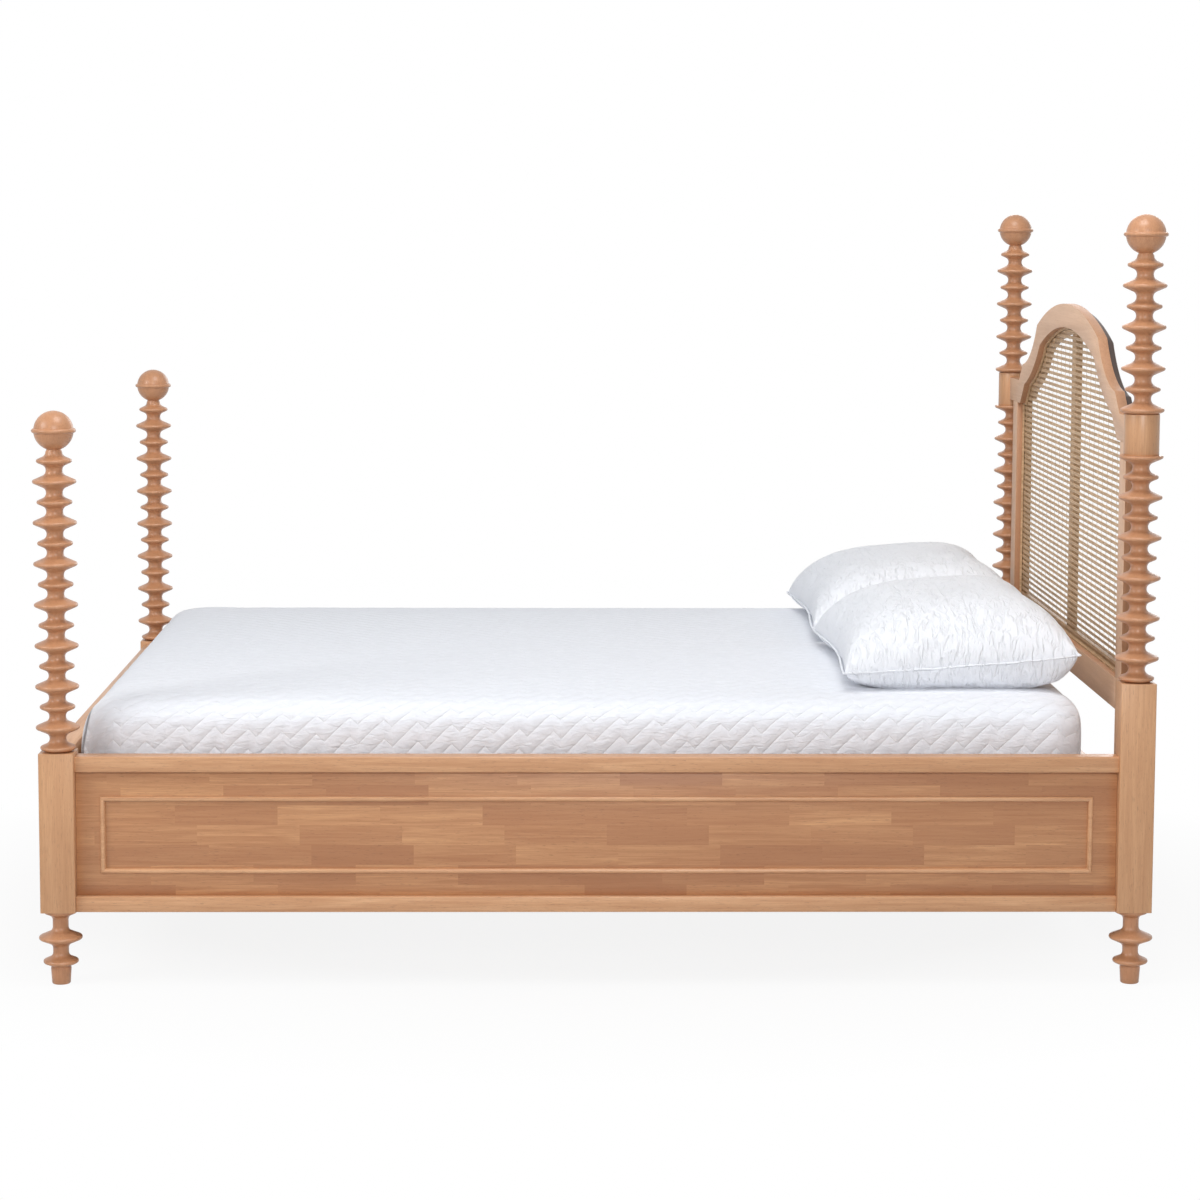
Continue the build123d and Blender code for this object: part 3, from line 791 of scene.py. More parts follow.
@dataclass
class Finishes:
    """Every finish on the bed, made once and shared.

    Attributes:
        made: The finished materials by name.
    """

    made: dict[str, bpy.types.Material] = field(default_factory=dict)

    def build(self) -> None:
        """Make all the materials, with a wood for each run of the grain."""
        recipes = [
            Wood("post_wood", (212, 164, 122), (182, 130, 90), Axis.Z, figure=0.7),
            Wood("turned_wood", (203, 150, 111), (172, 116, 80), Axis.Z, figure=0.6, relief=0.00005),
            # The headboard's edges take a darker copy of its wood: painted shade on the edges, beside the
            # paler faces.
            Wood("headboard_shaded_edge_wood", (200, 150, 114), (174, 124, 88), Axis.Z, roughness=0.6, figure=0.7),
            # A dark brown for the back frame's outward rims.
            Plain("back_rim_dark", (62, 48, 42), 0.6),
            Cane(),
            Plain("black_steel", (34, 34, 36), 0.45, 0.6),
            Plain("glide_plastic", (26, 26, 27), 0.5),
            Plain("white_webbing", (226, 222, 210), 0.85, 0.0, 1500.0),
            QuiltedCover(),
            CrinkledCotton(),
        ]
        for axis in (Axis.X, Axis.Y):
            run = axis.name.lower()
            recipes += [
                Wood(f"rail_wood_{run}", (220, 172, 130), (184, 130, 90), axis),
                Wood(f"panel_wood_{run}", (212, 160, 114), (168, 112, 74), axis, (0.0405, 0.205)),
                Wood(f"deck_wood_{run}", (224, 196, 152), (196, 160, 112), axis, roughness=0.7),
            ]
        # The headboard's broad faces take a paler tone than its edges: painted light on the faces.
        board = ((234, 194, 162), (214, 170, 136))
        for axis in (Axis.Y, Axis.Z):
            run = axis.name.lower()
            recipes += [
                Wood(f"headboard_wood_{run}", *board, axis, roughness=0.6, figure=0.7),
                Wood(f"back_wood_{run}", (206, 168, 128), (176, 138, 100), axis, roughness=0.6),
            ]
        for recipe in recipes:
            self.made[recipe.name] = recipe.make()

    def dress(self, piece: Piece, name: str) -> None:
        """Give a piece one finish in place of any it has."""
        piece.data.materials.clear()
        piece.data.materials.append(self.made[name])


@dataclass
class TurnedPosts:
    """The turned work: spindles, ball finials and legs.

    Attributes:
        steps: How many steps a turning is spun in.
        large: The radius of a large disc.
        small: The radius of a small disc.
        nose: The radius of a disc's rounded rim.
        flank: The slope of a disc's flank, in degrees from level.
        cove: The radius of the hollow between a disc and the neck.
        neck: The radius of the neck between discs.
        pitch: The distance between discs.
        seat_rise: How far the lowest disc's middle stands above its seat.
        ball: The radius of a finial's ball.
        ring: The radius of the ring round the ball.
        ring_half: Half the height of the ring at the ball.
        lip_depth: The share of the ring's reach that is rounded.
        lip_height: The height of that rounding as a share of the ring's.
        ball_neck: The radius of the neck under the ball.
        ball_rise: How far the ball's middle stands above the top disc.
        foot_discs: How many discs a foot spindle has.
        lower_discs: How many discs a head post has under its collar.
        upper_discs: How many discs a head post has over its collar.
        shoulder: The radius of a leg's shoulder under the block.
        shoulder_edge: How tall the shoulder's straight edge is.
        leg_neck: The radius of a leg's neck.
        large_height: The height of the middle of a leg's large disc.
        small_height: The height of the middle of a leg's small disc.
        taper_top: The height at which a leg's taper starts.
        taper: The taper's outline down to the floor.
    """

    steps: int = 72
    large: float = 0.0435
    small: float = 0.0352
    nose: float = 0.0042
    flank: float = 24.0
    cove: float = 0.0108
    neck: float = 0.0165
    pitch: float = 0.041
    seat_rise: float = 0.008
    ball: float = 0.0395
    ring: float = 0.044
    ring_half: float = 0.005
    lip_depth: float = 0.75
    lip_height: float = 0.8
    ball_neck: float = 0.0142
    ball_rise: float = 0.060
    foot_discs: int = 15
    lower_discs: int = 12
    upper_discs: int = 8
    shoulder: float = 0.0335
    shoulder_edge: float = 0.0025
    leg_neck: float = 0.0158
    large_height: float = 0.094
    small_height: float = 0.0455
    taper_top: float = 0.0335
    taper: tuple = ((0.0205, 0.0315), (0.0196, 0.018), (0.0186, 0.0015), (0.0172, 0.0), (0.0, 0.0))

    def half_disc(self, radius: float, neck: float) -> Profile:
        """The upper half of a disc's outline, from its rim to its neck, about the rim's middle.

        Args:
            radius: The disc's radius.
            neck: The neck's radius.

        Returns:
            Radius and height pairs, going up.
        """
        slope = math.radians(self.flank)
        lean = math.pi / 2 - slope
        rim = arc(radius - self.nose, 0.0, self.nose, 0.0, lean, 4)
        rim_r, rim_z = rim[-1]
        foot_r = neck + self.cove * (1 - math.cos(lean))
        foot_z = rim_z + (rim_r - foot_r) * math.tan(slope)
        top_z = foot_z + self.cove * math.sin(lean)
        return rim + arc(neck + self.cove, top_z, -self.cove, lean, 0.0, 4)

    def disc(self, height: float, radius: float, neck: float | None = None) -> Profile:
        """A whole disc's outline from the upper neck to the lower neck.

        Args:
            height: The height of its middle.
            radius: Its radius.
            neck: The neck's radius, or None for the usual one.

        Returns:
            Radius and height pairs, from the top down.
        """
        half = self.half_disc(radius, neck or self.neck)
        upper = [(r, height + z) for r, z in reversed(half)]
        lower = [(r, height - z) for r, z in half[1:]]
        return upper + lower

    def seated(self, height: float, radius: float, seat: float) -> Profile:
        """A disc whose lower half is cut flat at its seat.

        Args:
            height: The height of its middle.
            radius: Its radius.
            seat: The seat's height.

        Returns:
            Radius and height pairs, from the top down.
        """
        outline = self.disc(height, radius)
        kept = [point for point in outline if point[1] > seat]
        slope = math.radians(self.flank)
        last_r, last_z = kept[-1]
        reach = max(last_r - (last_z - seat) / math.tan(slope), self.neck)
        return kept + [(reach, seat), (0.0, seat)]

    def radii(self, count: int, first: float) -> list[float]:
        """Large and small radii by turns, from the top down.

        Args:
            count: How many discs there are.
            first: The top disc's radius.

        Returns:
            The radii.
        """
        pair = (self.large, self.small)
        start = pair.index(first)
        return [pair[(start + index) % 2] for index in range(count)]

    def finial(self, centre: float) -> Profile:
        """The ball and its ring from the top down to its short neck.

        Args:
            centre: The height of the ball's middle.

        Returns:
            Radius and height pairs, from the top down.
        """
        ring_turn = math.asin(self.ring_half / self.ball)
        low_turn = -math.acos(self.ball_neck / self.ball)
        points = arc(0.0, centre, self.ball, math.pi / 2, ring_turn, 14)
        lip = (self.ring - self.ball) * self.lip_depth
        for step in range(1, 8):
            turn = math.pi / 2 - math.pi * step / 8
            height = centre + self.ring_half * self.lip_height * math.sin(turn)
            points.append((self.ring - lip + lip * math.cos(turn), height))
        return points + arc(0.0, centre, self.ball, -ring_turn, low_turn, 10)

    def finial_spindle(self, seat: float, count: int) -> Profile:
        """The outline of a stack of discs on a seat under a ringed ball.

        Args:
            seat: The seat's height.
            count: How many discs there are.

        Returns:
            Radius and height pairs, from the top down.
        """
        base = seat + self.seat_rise
        top = base + (count - 1) * self.pitch
        radii = self.radii(count, self.small)
        outline = self.finial(top + self.ball_rise)
        for index, radius in enumerate(radii[:-1]):
            outline += self.disc(top - index * self.pitch, radius)
        return outline + self.seated(base, radii[-1], seat)

    def collar_spindle(self, seat: float, top: float, count: int) -> Profile:
        """The outline of a stack of discs between a block and a collar.

        Args:
            seat: The seat's height.
            top: The height of the collar's underside.
            count: How many discs there are.

        Returns:
            Radius and height pairs, from the top down.
        """
        base = seat + self.seat_rise
        crown = top - self.nose * 0.7
        pitch = (crown - base) / (count - 1)
        radii = self.radii(count, self.large)
        outline = [(0.0, top), (radii[0] - self.nose * 0.3, top)]
        outline += [p for p in self.disc(crown, radii[0]) if p[1] < crown + self.nose * 0.5]
        for index, radius in enumerate(radii[1:-1], start=1):
            outline += self.disc(crown - index * pitch, radius)
        return outline + self.seated(base, radii[-1], seat)

    def leg(self, top: float) -> Profile:
        """The outline of a short leg from its shoulder under the block to the floor.

        Args:
            top: The height of the block's underside.

        Returns:
            Radius and height pairs, from the top down.
        """
        half = self.half_disc(self.shoulder, self.leg_neck)
        outline = [(0.0, top), (self.shoulder, top)]
        outline += [(r, top - self.shoulder_edge - z) for r, z in half[1:]]
        outline += self.disc(self.large_height, self.large, self.leg_neck)
        small = self.disc(self.small_height, self.small, self.leg_neck)
        outline += [point for point in small if point[1] > self.taper_top]
        return outline + list(self.taper)

    def turn(self, name: str, outline: Profile) -> Piece:
        """Spin an outline about Z.

        Args:
            name: The turning's name.
            outline: Radius and height pairs from the top down.

        Returns:
            The turned piece on the frame's own axis.
        """
        Bench.free()
        first_r, first_z = outline[0]
        bpy.ops.mesh.primitive_plane_add(size=0.001, location=(0.0, 0.0, 0.0))
        piece = bpy.context.active_object
        piece.name = name
        piece.data.name = name
        Bench.enter(piece)
        bpy.ops.mesh.merge(type="CENTER")
        bpy.ops.transform.translate(value=(first_r, 0.0, first_z))
        last_r, last_z = first_r, first_z
        for radius, height in outline[1:]:
            step = (radius - last_r, 0.0, height - last_z)
            bpy.ops.mesh.extrude_vertices_move(TRANSFORM_OT_translate={"value": step})
            last_r, last_z = radius, height
        bpy.ops.mesh.select_all(action="SELECT")
        bpy.ops.mesh.spin(
            steps=self.steps, angle=2 * math.pi, center=(0.0, 0.0, 0.0), axis=(0.0, 0.0, 1.0)
        )
        bpy.ops.mesh.select_all(action="SELECT")
        bpy.ops.mesh.remove_doubles(threshold=Bench.WELD)
        bpy.ops.mesh.normals_make_consistent(inside=False)
        Bench.leave()
        Bench.smooth(piece, 40.0)
        return piece

    def stand(self, master: Piece, places: dict[str, tuple[float, float]]) -> list[Piece]:
        """Stand a copy of a turning at each place and bake its place.

        Args:
            master: The turned piece on the frame's axis, which is removed at the end.
            places: The name and the X and Y of each copy.

        Returns:
            The placed copies.
        """
        stood = []
        for name, (x, y) in places.items():
            piece = Bench.duplicate(master, name)
            piece.location = (x, y, 0.0)
            Bench.settle(piece)
            stood.append(piece)
        bpy.data.objects.remove(master)
        return stood

    def build(self, finishes: Finishes) -> None:
        """Turn every spindle and leg, and stand them in the frame.

        Args:
            finishes: The bed's finishes.
        """
        low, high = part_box("foot_block_right")
        head_low, head_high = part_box("head_block_right")
        collar_low, collar_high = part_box("head_post_collars")
        foot_x = (low.x + high.x) / 2
        head_x = (head_low.x + head_high.x) / 2
        post_y = abs(low.y + high.y) / 2
        sides = {"left": post_y, "right": -post_y}
        under_collar = self.collar_spindle(head_high.z, collar_low.z, self.lower_discs)
        work = {
            "foot_post_spindle": (foot_x, self.finial_spindle(high.z, self.foot_discs)),
            "head_post_lower_spindle": (head_x, under_collar),
            "head_post_upper_spindle": (head_x, self.finial_spindle(collar_high.z, self.upper_discs)),
        }
        for name, (x, outline) in work.items():
            places = {f"{name}_{side}": (x, y) for side, y in sides.items()}
            for piece in self.stand(self.turn(name, outline), places):
                finishes.dress(piece, "turned_wood")
                Bench.ride(piece, "bed", "light_wood", f"{name}s")
        places = {
            f"turned_leg_{end}_{side}": (x, y)
            for end, x in (("foot", foot_x), ("head", head_x))
            for side, y in sides.items()
        }
        for piece in self.stand(self.turn("turned_leg", self.leg(low.z)), places):
            finishes.dress(piece, "turned_wood")
            Bench.ride(piece, "bed", "light_wood", "turned_legs")


@dataclass
class Joinery:
    """The flat work: blocks, rails, panels, beads, boards and slats with eased edges.

    Attributes:
        ease: The width of an eased edge.
        corner: The least angle, in degrees, of an edge that is eased.
        board_middle: The height of the headboard's middle.
        centre_half: How far the centre stile reaches from the middle line.
        edge_lean: How far an edge's face may lean towards the bed's length.
        finish_of: The finish of each frame node.
    """

    ease: float = 0.0012
    corner: float = 40.0
    board_middle: float = 0.9
    centre_half: float = 0.1
    edge_lean: float = 0.6
    finish_of: dict[str, str] = field(default_factory=dict)

    def plan(self) -> None:
        """Choose each node's finish by its timber and the run of its grain."""
        posts = [f"{end}_block_{side}" for end in ("foot", "head") for side in ("left", "right")]
        self.finish_of.update({name: "post_wood" for name in [*posts, "head_post_collars"]})
        for rail, run in (("side_rail_left", "x"), ("side_rail_right", "x"), ("foot_rail", "y")):
            for strip in ("cap", "base", "bead"):
                self.finish_of[f"{rail}_{strip}"] = f"rail_wood_{run}"
            self.finish_of[f"{rail}_panel"] = f"panel_wood_{run}"
        for side in ("left", "right"):
            self.finish_of[f"headboard_stile_{side}"] = "headboard_wood_z"
            self.finish_of[f"back_frame_stile_{side}"] = "back_wood_z"
            self.finish_of[f"slat_ledger_{side}"] = "deck_wood_x"
        self.finish_of.update(
            {
                "head_cross_rail": "rail_wood_y",
                "headboard_arch_rail": "headboard_wood_y",
                "headboard_bottom_rail": "headboard_wood_y",
                "back_frame_arch": "back_wood_y",
                "back_frame_bottom_rail": "back_wood_y",
                "back_frame_centre_stile": "back_wood_z",
                "slats": "deck_wood_y",
                "centre_beam": "deck_wood_x",
                "centre_legs": "deck_wood_x",
            }
        )

    def build(self, frame: dict, finishes: Finishes) -> None:
        """Make an eased copy of every flat wooden node.

        Args:
            frame: What the frame's loader returned.
            finishes: The bed's finishes.
        """
        self.plan()
        slots = {entry["node"]: entry["material_slot"] for entry in frame["record"]["subparts"]}
        for node, finish in self.finish_of.items():
            piece = Bench.clean_copy(frame["nodes"][node], f"{node}_eased")
            Bench.apply(
                piece,
                "BEVEL",
                width=self.ease,
                segments=2,
                limit_method="ANGLE",
                angle_limit=math.radians(self.corner),
                use_clamp_overlap=True,
            )
            Bench.smooth(piece, 35.0)
            finishes.dress(piece, finish)
            # The back frame's outward rims turn dark brown.
            if node.startswith("back_frame"):
                self.colour_edges(piece, finishes.made["back_rim_dark"], rims_only=True)
            # The headboard's edges take a darker copy of its wood: painted shade on the edges.
            if node.startswith("headboard"):
                self.colour_edges(piece, finishes.made["headboard_shaded_edge_wood"], rims_only=False)
            Bench.ride(piece, "bed", slots[node], node)

    def colour_edges(self, piece: Piece, edge: bpy.types.Material, rims_only: bool) -> None:
        """Give a headboard piece's edges a darker finish of their own, and leave its broad faces; on the
        headboard this darker edge finish is painted shade.

        Args:
            piece: The piece, with one finish on it.
            edge: The finish of its edges.
            rims_only: Whether only the edges that face outwards take it.
        """
        piece.data.materials.append(edge)
        for face in piece.data.polygons:
            _, y, z = face.center
            outward = face.normal.y * y + face.normal.z * (z - self.board_middle)
            rim = abs(y) > self.centre_half and outward > 0
            on_edge = abs(face.normal.x) < self.edge_lean and (rim or not rims_only)
            face.material_index = 1 if on_edge else 0


@dataclass
class CaneWork:
    """The caning: pairs of flat strands in rows, bound by thin upright ones.

    Attributes:
        pitch: The distance between rows.
        gap: The height of the gap between rows.
        first_gap: How far the lowest gap starts above the bottom rail.
        strand_thickness: How thick a strand is.
        binder_pitch: The distance between the upright strands.
        binder_width: The width of an upright strand.
        segments: How many lengths a strand is divided into.
        unevenness: How far a strand's edge wanders.
        overlap: How far the two strands of a row press into each other.
        shortest: Half the length of the shortest strand.
        side_gap: How far a strand's end stays inside the cane's groove.
        top_gap: How far a binder's top stays inside the groove.
        foot_gap: How far a binder's foot stays inside the groove.
        set_back: How far a binder stands behind the strands, in their thicknesses.
    """

    pitch: float = 0.0131
    gap: float = 0.0058
    first_gap: float = 0.006
    strand_thickness: float = 0.0016
    binder_pitch: float = 0.0524
    binder_width: float = 0.0007
    segments: int = 150
    unevenness: float = 0.00045
    overlap: float = 1.03
    shortest: float = 0.02
    side_gap: float = 0.001
    top_gap: float = 0.004
    foot_gap: float = 0.002
    set_back: float = 0.55

    def outline(self, node: Piece) -> list[tuple[Vector, Vector]]:
        """Every edge of the cane's sheet, to measure its width at a height."""
        points = node.data.vertices
        return [(points[a].co, points[b].co) for a, b in (edge.vertices for edge in node.data.edges)]

    @staticmethod
    def reach(edges: list[tuple[Vector, Vector]], along: Axis, place: float, across: Axis) -> float:
        """How far the cane's sheet reaches on one axis, at a place along another.

        Args:
            edges: The sheet's edges.
            along: The axis that the place is on.
            place: The place.
            across: The axis that is measured.

        Returns:
            The greatest distance from the frame's origin.
        """
        run, out = along.value, across.value
        furthest = 0.0
        for ends in edges:
            low, high = sorted(ends, key=lambda co: co[run])
            length = high[run] - low[run]
            if low[run] <= place <= high[run] and length > 1e-6:
                share = (place - low[run]) / length
                furthest = max(furthest, abs(low[out] + (high[out] - low[out]) * share))
        return furthest

    def master(self) -> Piece:
        """A strand one metre long with an oval section, divided along its length.

        Returns:
            The strand.
        """
        Bench.free()
        bpy.ops.mesh.primitive_cylinder_add(
            vertices=8, radius=0.5, depth=1.0, end_fill_type="NGON", rotation=(math.pi / 2, 0.0, 0.0)
        )
        piece = bpy.context.active_object
        piece.name = "strand_master"
        Bench.settle(piece)
        bpy.ops.object.mode_set(mode="EDIT")
        bpy.ops.mesh.select_all(action="DESELECT")
        bpy.ops.mesh.select_mode(type="EDGE")
        mesh = bmesh.from_edit_mesh(piece.data)
        for edge in mesh.edges:
            edge.select_set(abs(edge.verts[0].co.y - edge.verts[1].co.y) > 0.5)
        bmesh.update_edit_mesh(piece.data)
        bpy.ops.mesh.subdivide(number_cuts=self.segments - 1)
        Bench.leave()
        return piece

    def strand(self, master: Piece, x: float, height: float, half: float, tall: float) -> Piece:
        """One level strand, its edges a little uneven as split cane is.

        Args:
            master: The strand that is copied.
            x: The place of its middle along the bed.
            height: The height of its middle.
            half: Half its length.
            tall: How tall the strand is.

        Returns:
            The strand in place.
        """
        piece = Bench.duplicate(master, f"strand_{int(height * 10000)}")
        piece.scale = (self.strand_thickness, 2 * half, tall)
        piece.location = (x, 0.0, height)
        Bench.settle(piece)
        for vertex in piece.data.vertices:
            way = 1.0 if vertex.co.z > height else -1.0
            across = vertex.co.y * 1000
            wave = math.sin(across / 4.1 + height * 9000) * math.sin(across / 13.7 + height * 700)
            vertex.co.z += way * self.unevenness * wave
        return piece

    def build(self, frame: dict, finishes: Finishes) -> None:
        """Lay the rows, stand the binders between them and dress the spline.

        Args:
            frame: What the frame's loader returned.
            finishes: The bed's finishes.
        """
        node = frame["nodes"]["cane_panel"]
        edges = self.outline(node)
        low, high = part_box("cane_panel")
        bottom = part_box("headboard_bottom_rail")[1].z
        middle_x = (low.x + high.x) / 2
        tall = (self.pitch - self.gap) / 2
        first = bottom + self.first_gap + self.gap
        rows = int((high.z - first) / self.pitch) + 1
        strands = []
        master = self.master()
        for row in range(-1, rows):
            base = first + row * self.pitch
            for part in (0.5, 1.5):
                height = base + part * tall
                half = self.reach(edges, Axis.Z, height, Axis.Y) - self.side_gap
                if half > self.shortest and low.z < height < high.z:
                    strands.append(self.strand(master, middle_x, height, half, tall * self.overlap))
        bpy.data.objects.remove(master)
        count = int(self.reach(edges, Axis.Z, bottom + 0.1, Axis.Y) / self.binder_pitch)
        for index in range(-count, count + 1):
            place = index * self.binder_pitch
            top = self.reach(edges, Axis.Y, place, Axis.Z) - self.top_gap
            foot = low.z + self.foot_gap
            strands.append(self.binder(f"binder_{index + count}", middle_x, place, foot, top))
        cane = Bench.join(strands, "cane_strands")
        Bench.smooth(cane, 50.0)
        finishes.dress(cane, "split_cane")
        Bench.ride(cane, "bed", "cane", "cane_panel")
        finishes.dress(frame["nodes"]["cane_spline"], "split_cane")

    def binder(self, name: str, x: float, y: float, low: float, top: float) -> Piece:
        """One thin upright strand behind the rows.

        Args:
            name: The strand's name.
            x: The place of the rows' middle along the bed.
            y: Its place across the bed.
            low: The height of its foot.
            top: The height of its top.

        Returns:
            The strand in place.
        """
        Bench.free()
        bpy.ops.mesh.primitive_cylinder_add(vertices=6, radius=0.5, depth=1.0, end_fill_type="NGON")
        piece = bpy.context.active_object
        piece.name = name
        piece.scale = (self.binder_width, self.binder_width, top - low)
        piece.location = (x + self.strand_thickness * self.set_back, y, (low + top) / 2)
        Bench.settle(piece)
        return piece


@dataclass
class SoftGoods:
    """The mattress and the pillows.

    Attributes:
        mattress_voxel: The size of the mattress's starting mesh.
        mattress_pressure: The pressure inside the mattress.
        mattress_steps: How many steps it swells for.
        mattress_cap: How far a point of the mattress may swell.
        foot_bulge: How far the mattress swells out at its foot end.
        foot_reach: How far from the foot end that swelling starts.
        pillow_half_width: Half of a pillow's width, from its foot side to its head side.
        pillow_half_length: Half of a pillow's length, across the bed.
        waist: How far a pillow's long edges draw in between its corners.
        crown: How far a pillow's top rises above its seam.
        pillow_pressure: The pressure inside a pillow.
        pillow_steps: How many steps it swells for.
        pillow_cap: How far a point of a pillow may swell.
        piping_radius: The radius of the corded seam.
        seam_height: The height of a pillow's seam over the mattress.
        seam_tilt: How far the seam rises from the middle to the head's side.
        seam_sweep: How far the seam's long edges turn up.
        grid: How many cells a side of the bag has across and along.
        weld: The distance within which the two sides' edges join.
    """

    mattress_voxel: float = 0.02
    mattress_pressure: float = 3.0
    mattress_steps: int = 12
    mattress_cap: float = 0.008
    foot_bulge: float = 0.022
    foot_reach: float = 0.10
    pillow_half_width: float = 0.242
    pillow_half_length: float = 0.33
    waist: float = 0.017
    crown: float = 0.124
    pillow_pressure: float = 2.0
    pillow_steps: int = 10
    pillow_cap: float = 0.006
    piping_radius: float = 0.0021
    seam_height: float = 0.055
    seam_tilt: float = 0.0185
    seam_sweep: float = 0.006
    grid: tuple[int, int] = (54, 70)
    weld: float = 0.0013

    @staticmethod
    def puff(piece: Piece, pressure: float, frames: int, cap: float) -> None:
        """Swell a closed mesh as cloth and hold each point within a distance of its start.

        Args:
            piece: The closed mesh.
            pressure: The pressure inside it.
            frames: How many steps the swelling runs for.
            cap: The greatest distance that a point moves.
        """
        start = [vertex.co.copy() for vertex in piece.data.vertices]
        cloth = piece.modifiers.new("Cloth", "CLOTH")
        cloth.settings.use_pressure = True
        cloth.settings.uniform_pressure_force = pressure
        cloth.settings.effector_weights.gravity = 0.0
        scene = bpy.context.scene
        for number in range(1, frames + 1):
            scene.frame_set(number)
        Bench.hold(piece)
        bpy.ops.object.modifier_apply(modifier=cloth.name)
        scene.frame_set(1)
        for vertex, origin in zip(piece.data.vertices, start):
            step = vertex.co - origin
            if step.length > cap:
                vertex.co = origin + step * (cap / step.length)

    def unfold(self, piece: Piece, low: Vector, high: Vector) -> None:
        """Chart the cover in metres: the top continues down the long sides, the ends stand alone.

        Args:
            piece: The mattress.
            low: Its box's low corner.
            high: Its box's high corner.
        """
        layer = piece.data.uv_layers.new(name="cover")
        half = (high.y - low.y) / 2
        for face in piece.data.polygons:
            end = abs(face.normal.x) > 0.75
            for loop in face.loop_indices:
                co = piece.data.vertices[piece.data.loops[loop].vertex_index].co
                up = co.z + half - abs(co.y)
                layer.data[loop].uv = (co.y, co.z) if end else (co.x, up)

    def mattress(self, frame: dict, finishes: Finishes) -> None:
        """Swell the mattress a little, keep it on its slats and chart its quilting.

        Args:
            frame: What the frame's loader returned.
            finishes: The bed's finishes.
        """
        low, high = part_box("mattress")
        piece = Bench.clean_copy(frame["nodes"]["mattress"], "quilted_mattress")
        Bench.apply(piece, "REMESH", mode="VOXEL", voxel_size=self.mattress_voxel)
        Bench.apply(piece, "SMOOTH", factor=0.5, iterations=4)
        self.puff(piece, self.mattress_pressure, self.mattress_steps, self.mattress_cap)
        Bench.apply(piece, "SUBSURF", levels=1, render_levels=1)
        for vertex in piece.data.vertices:
            co = vertex.co
            reach = max(0.0, 1 - (co.x - low.x) / self.foot_reach)
            height = (co.z - low.z) / (high.z - low.z)
            belly = math.sin(math.pi * min(1.0, max(0.0, height)) ** 0.8)
            ruck = 1 + 0.3 * noise.noise(Vector((co.y * 16, co.z * 6, 0.3)))
            co.x -= self.foot_bulge * reach**2 * belly * ruck
            co.z = max(co.z, low.z)
        self.unfold(piece, low, high)
        bpy.ops.object.shade_smooth()
        finishes.dress(piece, "quilted_cover")
        Bench.ride(piece, "mattress", "mattress_cover", "mattress")

    def bag_point(self, u: float, v: float, top: bool, seed: float) -> Vector:
        """A point of a pillow's bag, about the middle of its footprint on the mattress.

        Args:
            u: The place across the pillow, from -1 at the foot's side to 1 at the head's.
            v: The place along the pillow, from -1 to 1.
            top: Whether the point is on the top.
            seed: A shift that gives each pillow its own wrinkles.

        Returns:
            The point, with its height above the mattress.
        """
        half_x = self.pillow_half_width - self.waist * math.cos(v * math.pi / 2) ** 1.5
        half_y = self.pillow_half_length - 0.6 * self.waist * math.cos(u * math.pi / 2) ** 1.5
        x, y = u * half_x, v * half_y
        seam = self.seam_height + self.seam_tilt * u + self.seam_sweep * u * u
        edge = (1 - abs(u) ** 3.2) * (1 - abs(v) ** 4.5)
        place = Vector((x * 24 + seed, y * 9, seam * 4))
        ruck = noise.noise(place) + 0.6 * noise.noise(place * 2.3)
        puckers = math.sin(y * 210 + 3 * noise.noise(place)) * abs(u) ** 6
        puckers += math.sin(x * 210 + 3 * noise.noise(place)) * abs(v) ** 8
        if top:
            fine = 0.0016 * ruck + 0.0022 * puckers * min(1.0, edge * 8)
            return Vector((x, y, seam + self.crown * edge**0.55 + fine))
        under = ((1 - abs(u) ** 5.0) * (1 - abs(v) ** 11.0)) ** 0.5
        height = max(seam * (1 - 1.16 * under), 0.0)
        lift = min(1.0, height / 0.02)
        return Vector((x, y, height + 0.0012 * ruck * lift + 0.001))

    def bag_grid(self, name: str) -> Piece:
        """A flat grid of the bag's cells.

        Args:
            name: The grid's name.

        Returns:
            The grid, from -1 to 1 each way.
        """
        Bench.free()
        across, along = self.grid
        bpy.ops.mesh.primitive_grid_add(x_subdivisions=across, y_subdivisions=along, size=2.0)
        piece = bpy.context.active_object
        piece.name = name
        return piece

    def shape(self, piece: Piece, top: bool, seed: float) -> None:
        """Shape a flat grid into a side of the bag, with finer cells at the seams.

        Args:
            piece: The grid.
            top: Whether it is the top side.
            seed: The pillow's own shift.
        """
        for vertex in piece.data.vertices:
            u = math.sin(vertex.co.x * math.pi / 2)
            v = math.sin(vertex.co.y * math.pi / 2)
            vertex.co = self.bag_point(u, v, top, seed)

    def bag_side(self, name: str, top: bool, seed: float) -> Piece:
        """One side of a pillow's bag.

        Args:
            name: The side's name.
            top: Whether it is the top side.
            seed: The pillow's own shift.

        Returns:
            The side.
        """
        piece = self.bag_grid(name)
        self.shape(piece, top, seed)
        return piece

    def piping(self, name: str, seed: float) -> Piece:
        """The corded seam round a pillow's edge.

        Args:
            name: The seam's name.
            seed: The pillow's own shift.

        Returns:
            The seam as a mesh.
        """
        piece = self.bag_grid(name)
        Bench.enter(piece)
        bpy.ops.mesh.region_to_loop()
        bpy.ops.mesh.select_all(action="INVERT")
        bpy.ops.mesh.delete(type="EDGE")
        Bench.leave()
        self.shape(piece, True, seed)
        Bench.hold(piece)
        bpy.ops.object.convert(target="CURVE")
        curve = bpy.context.active_object
        curve.data.bevel_depth = self.piping_radius
        curve.data.bevel_resolution = 2
        bpy.ops.object.convert(target="MESH")
        return bpy.context.active_object

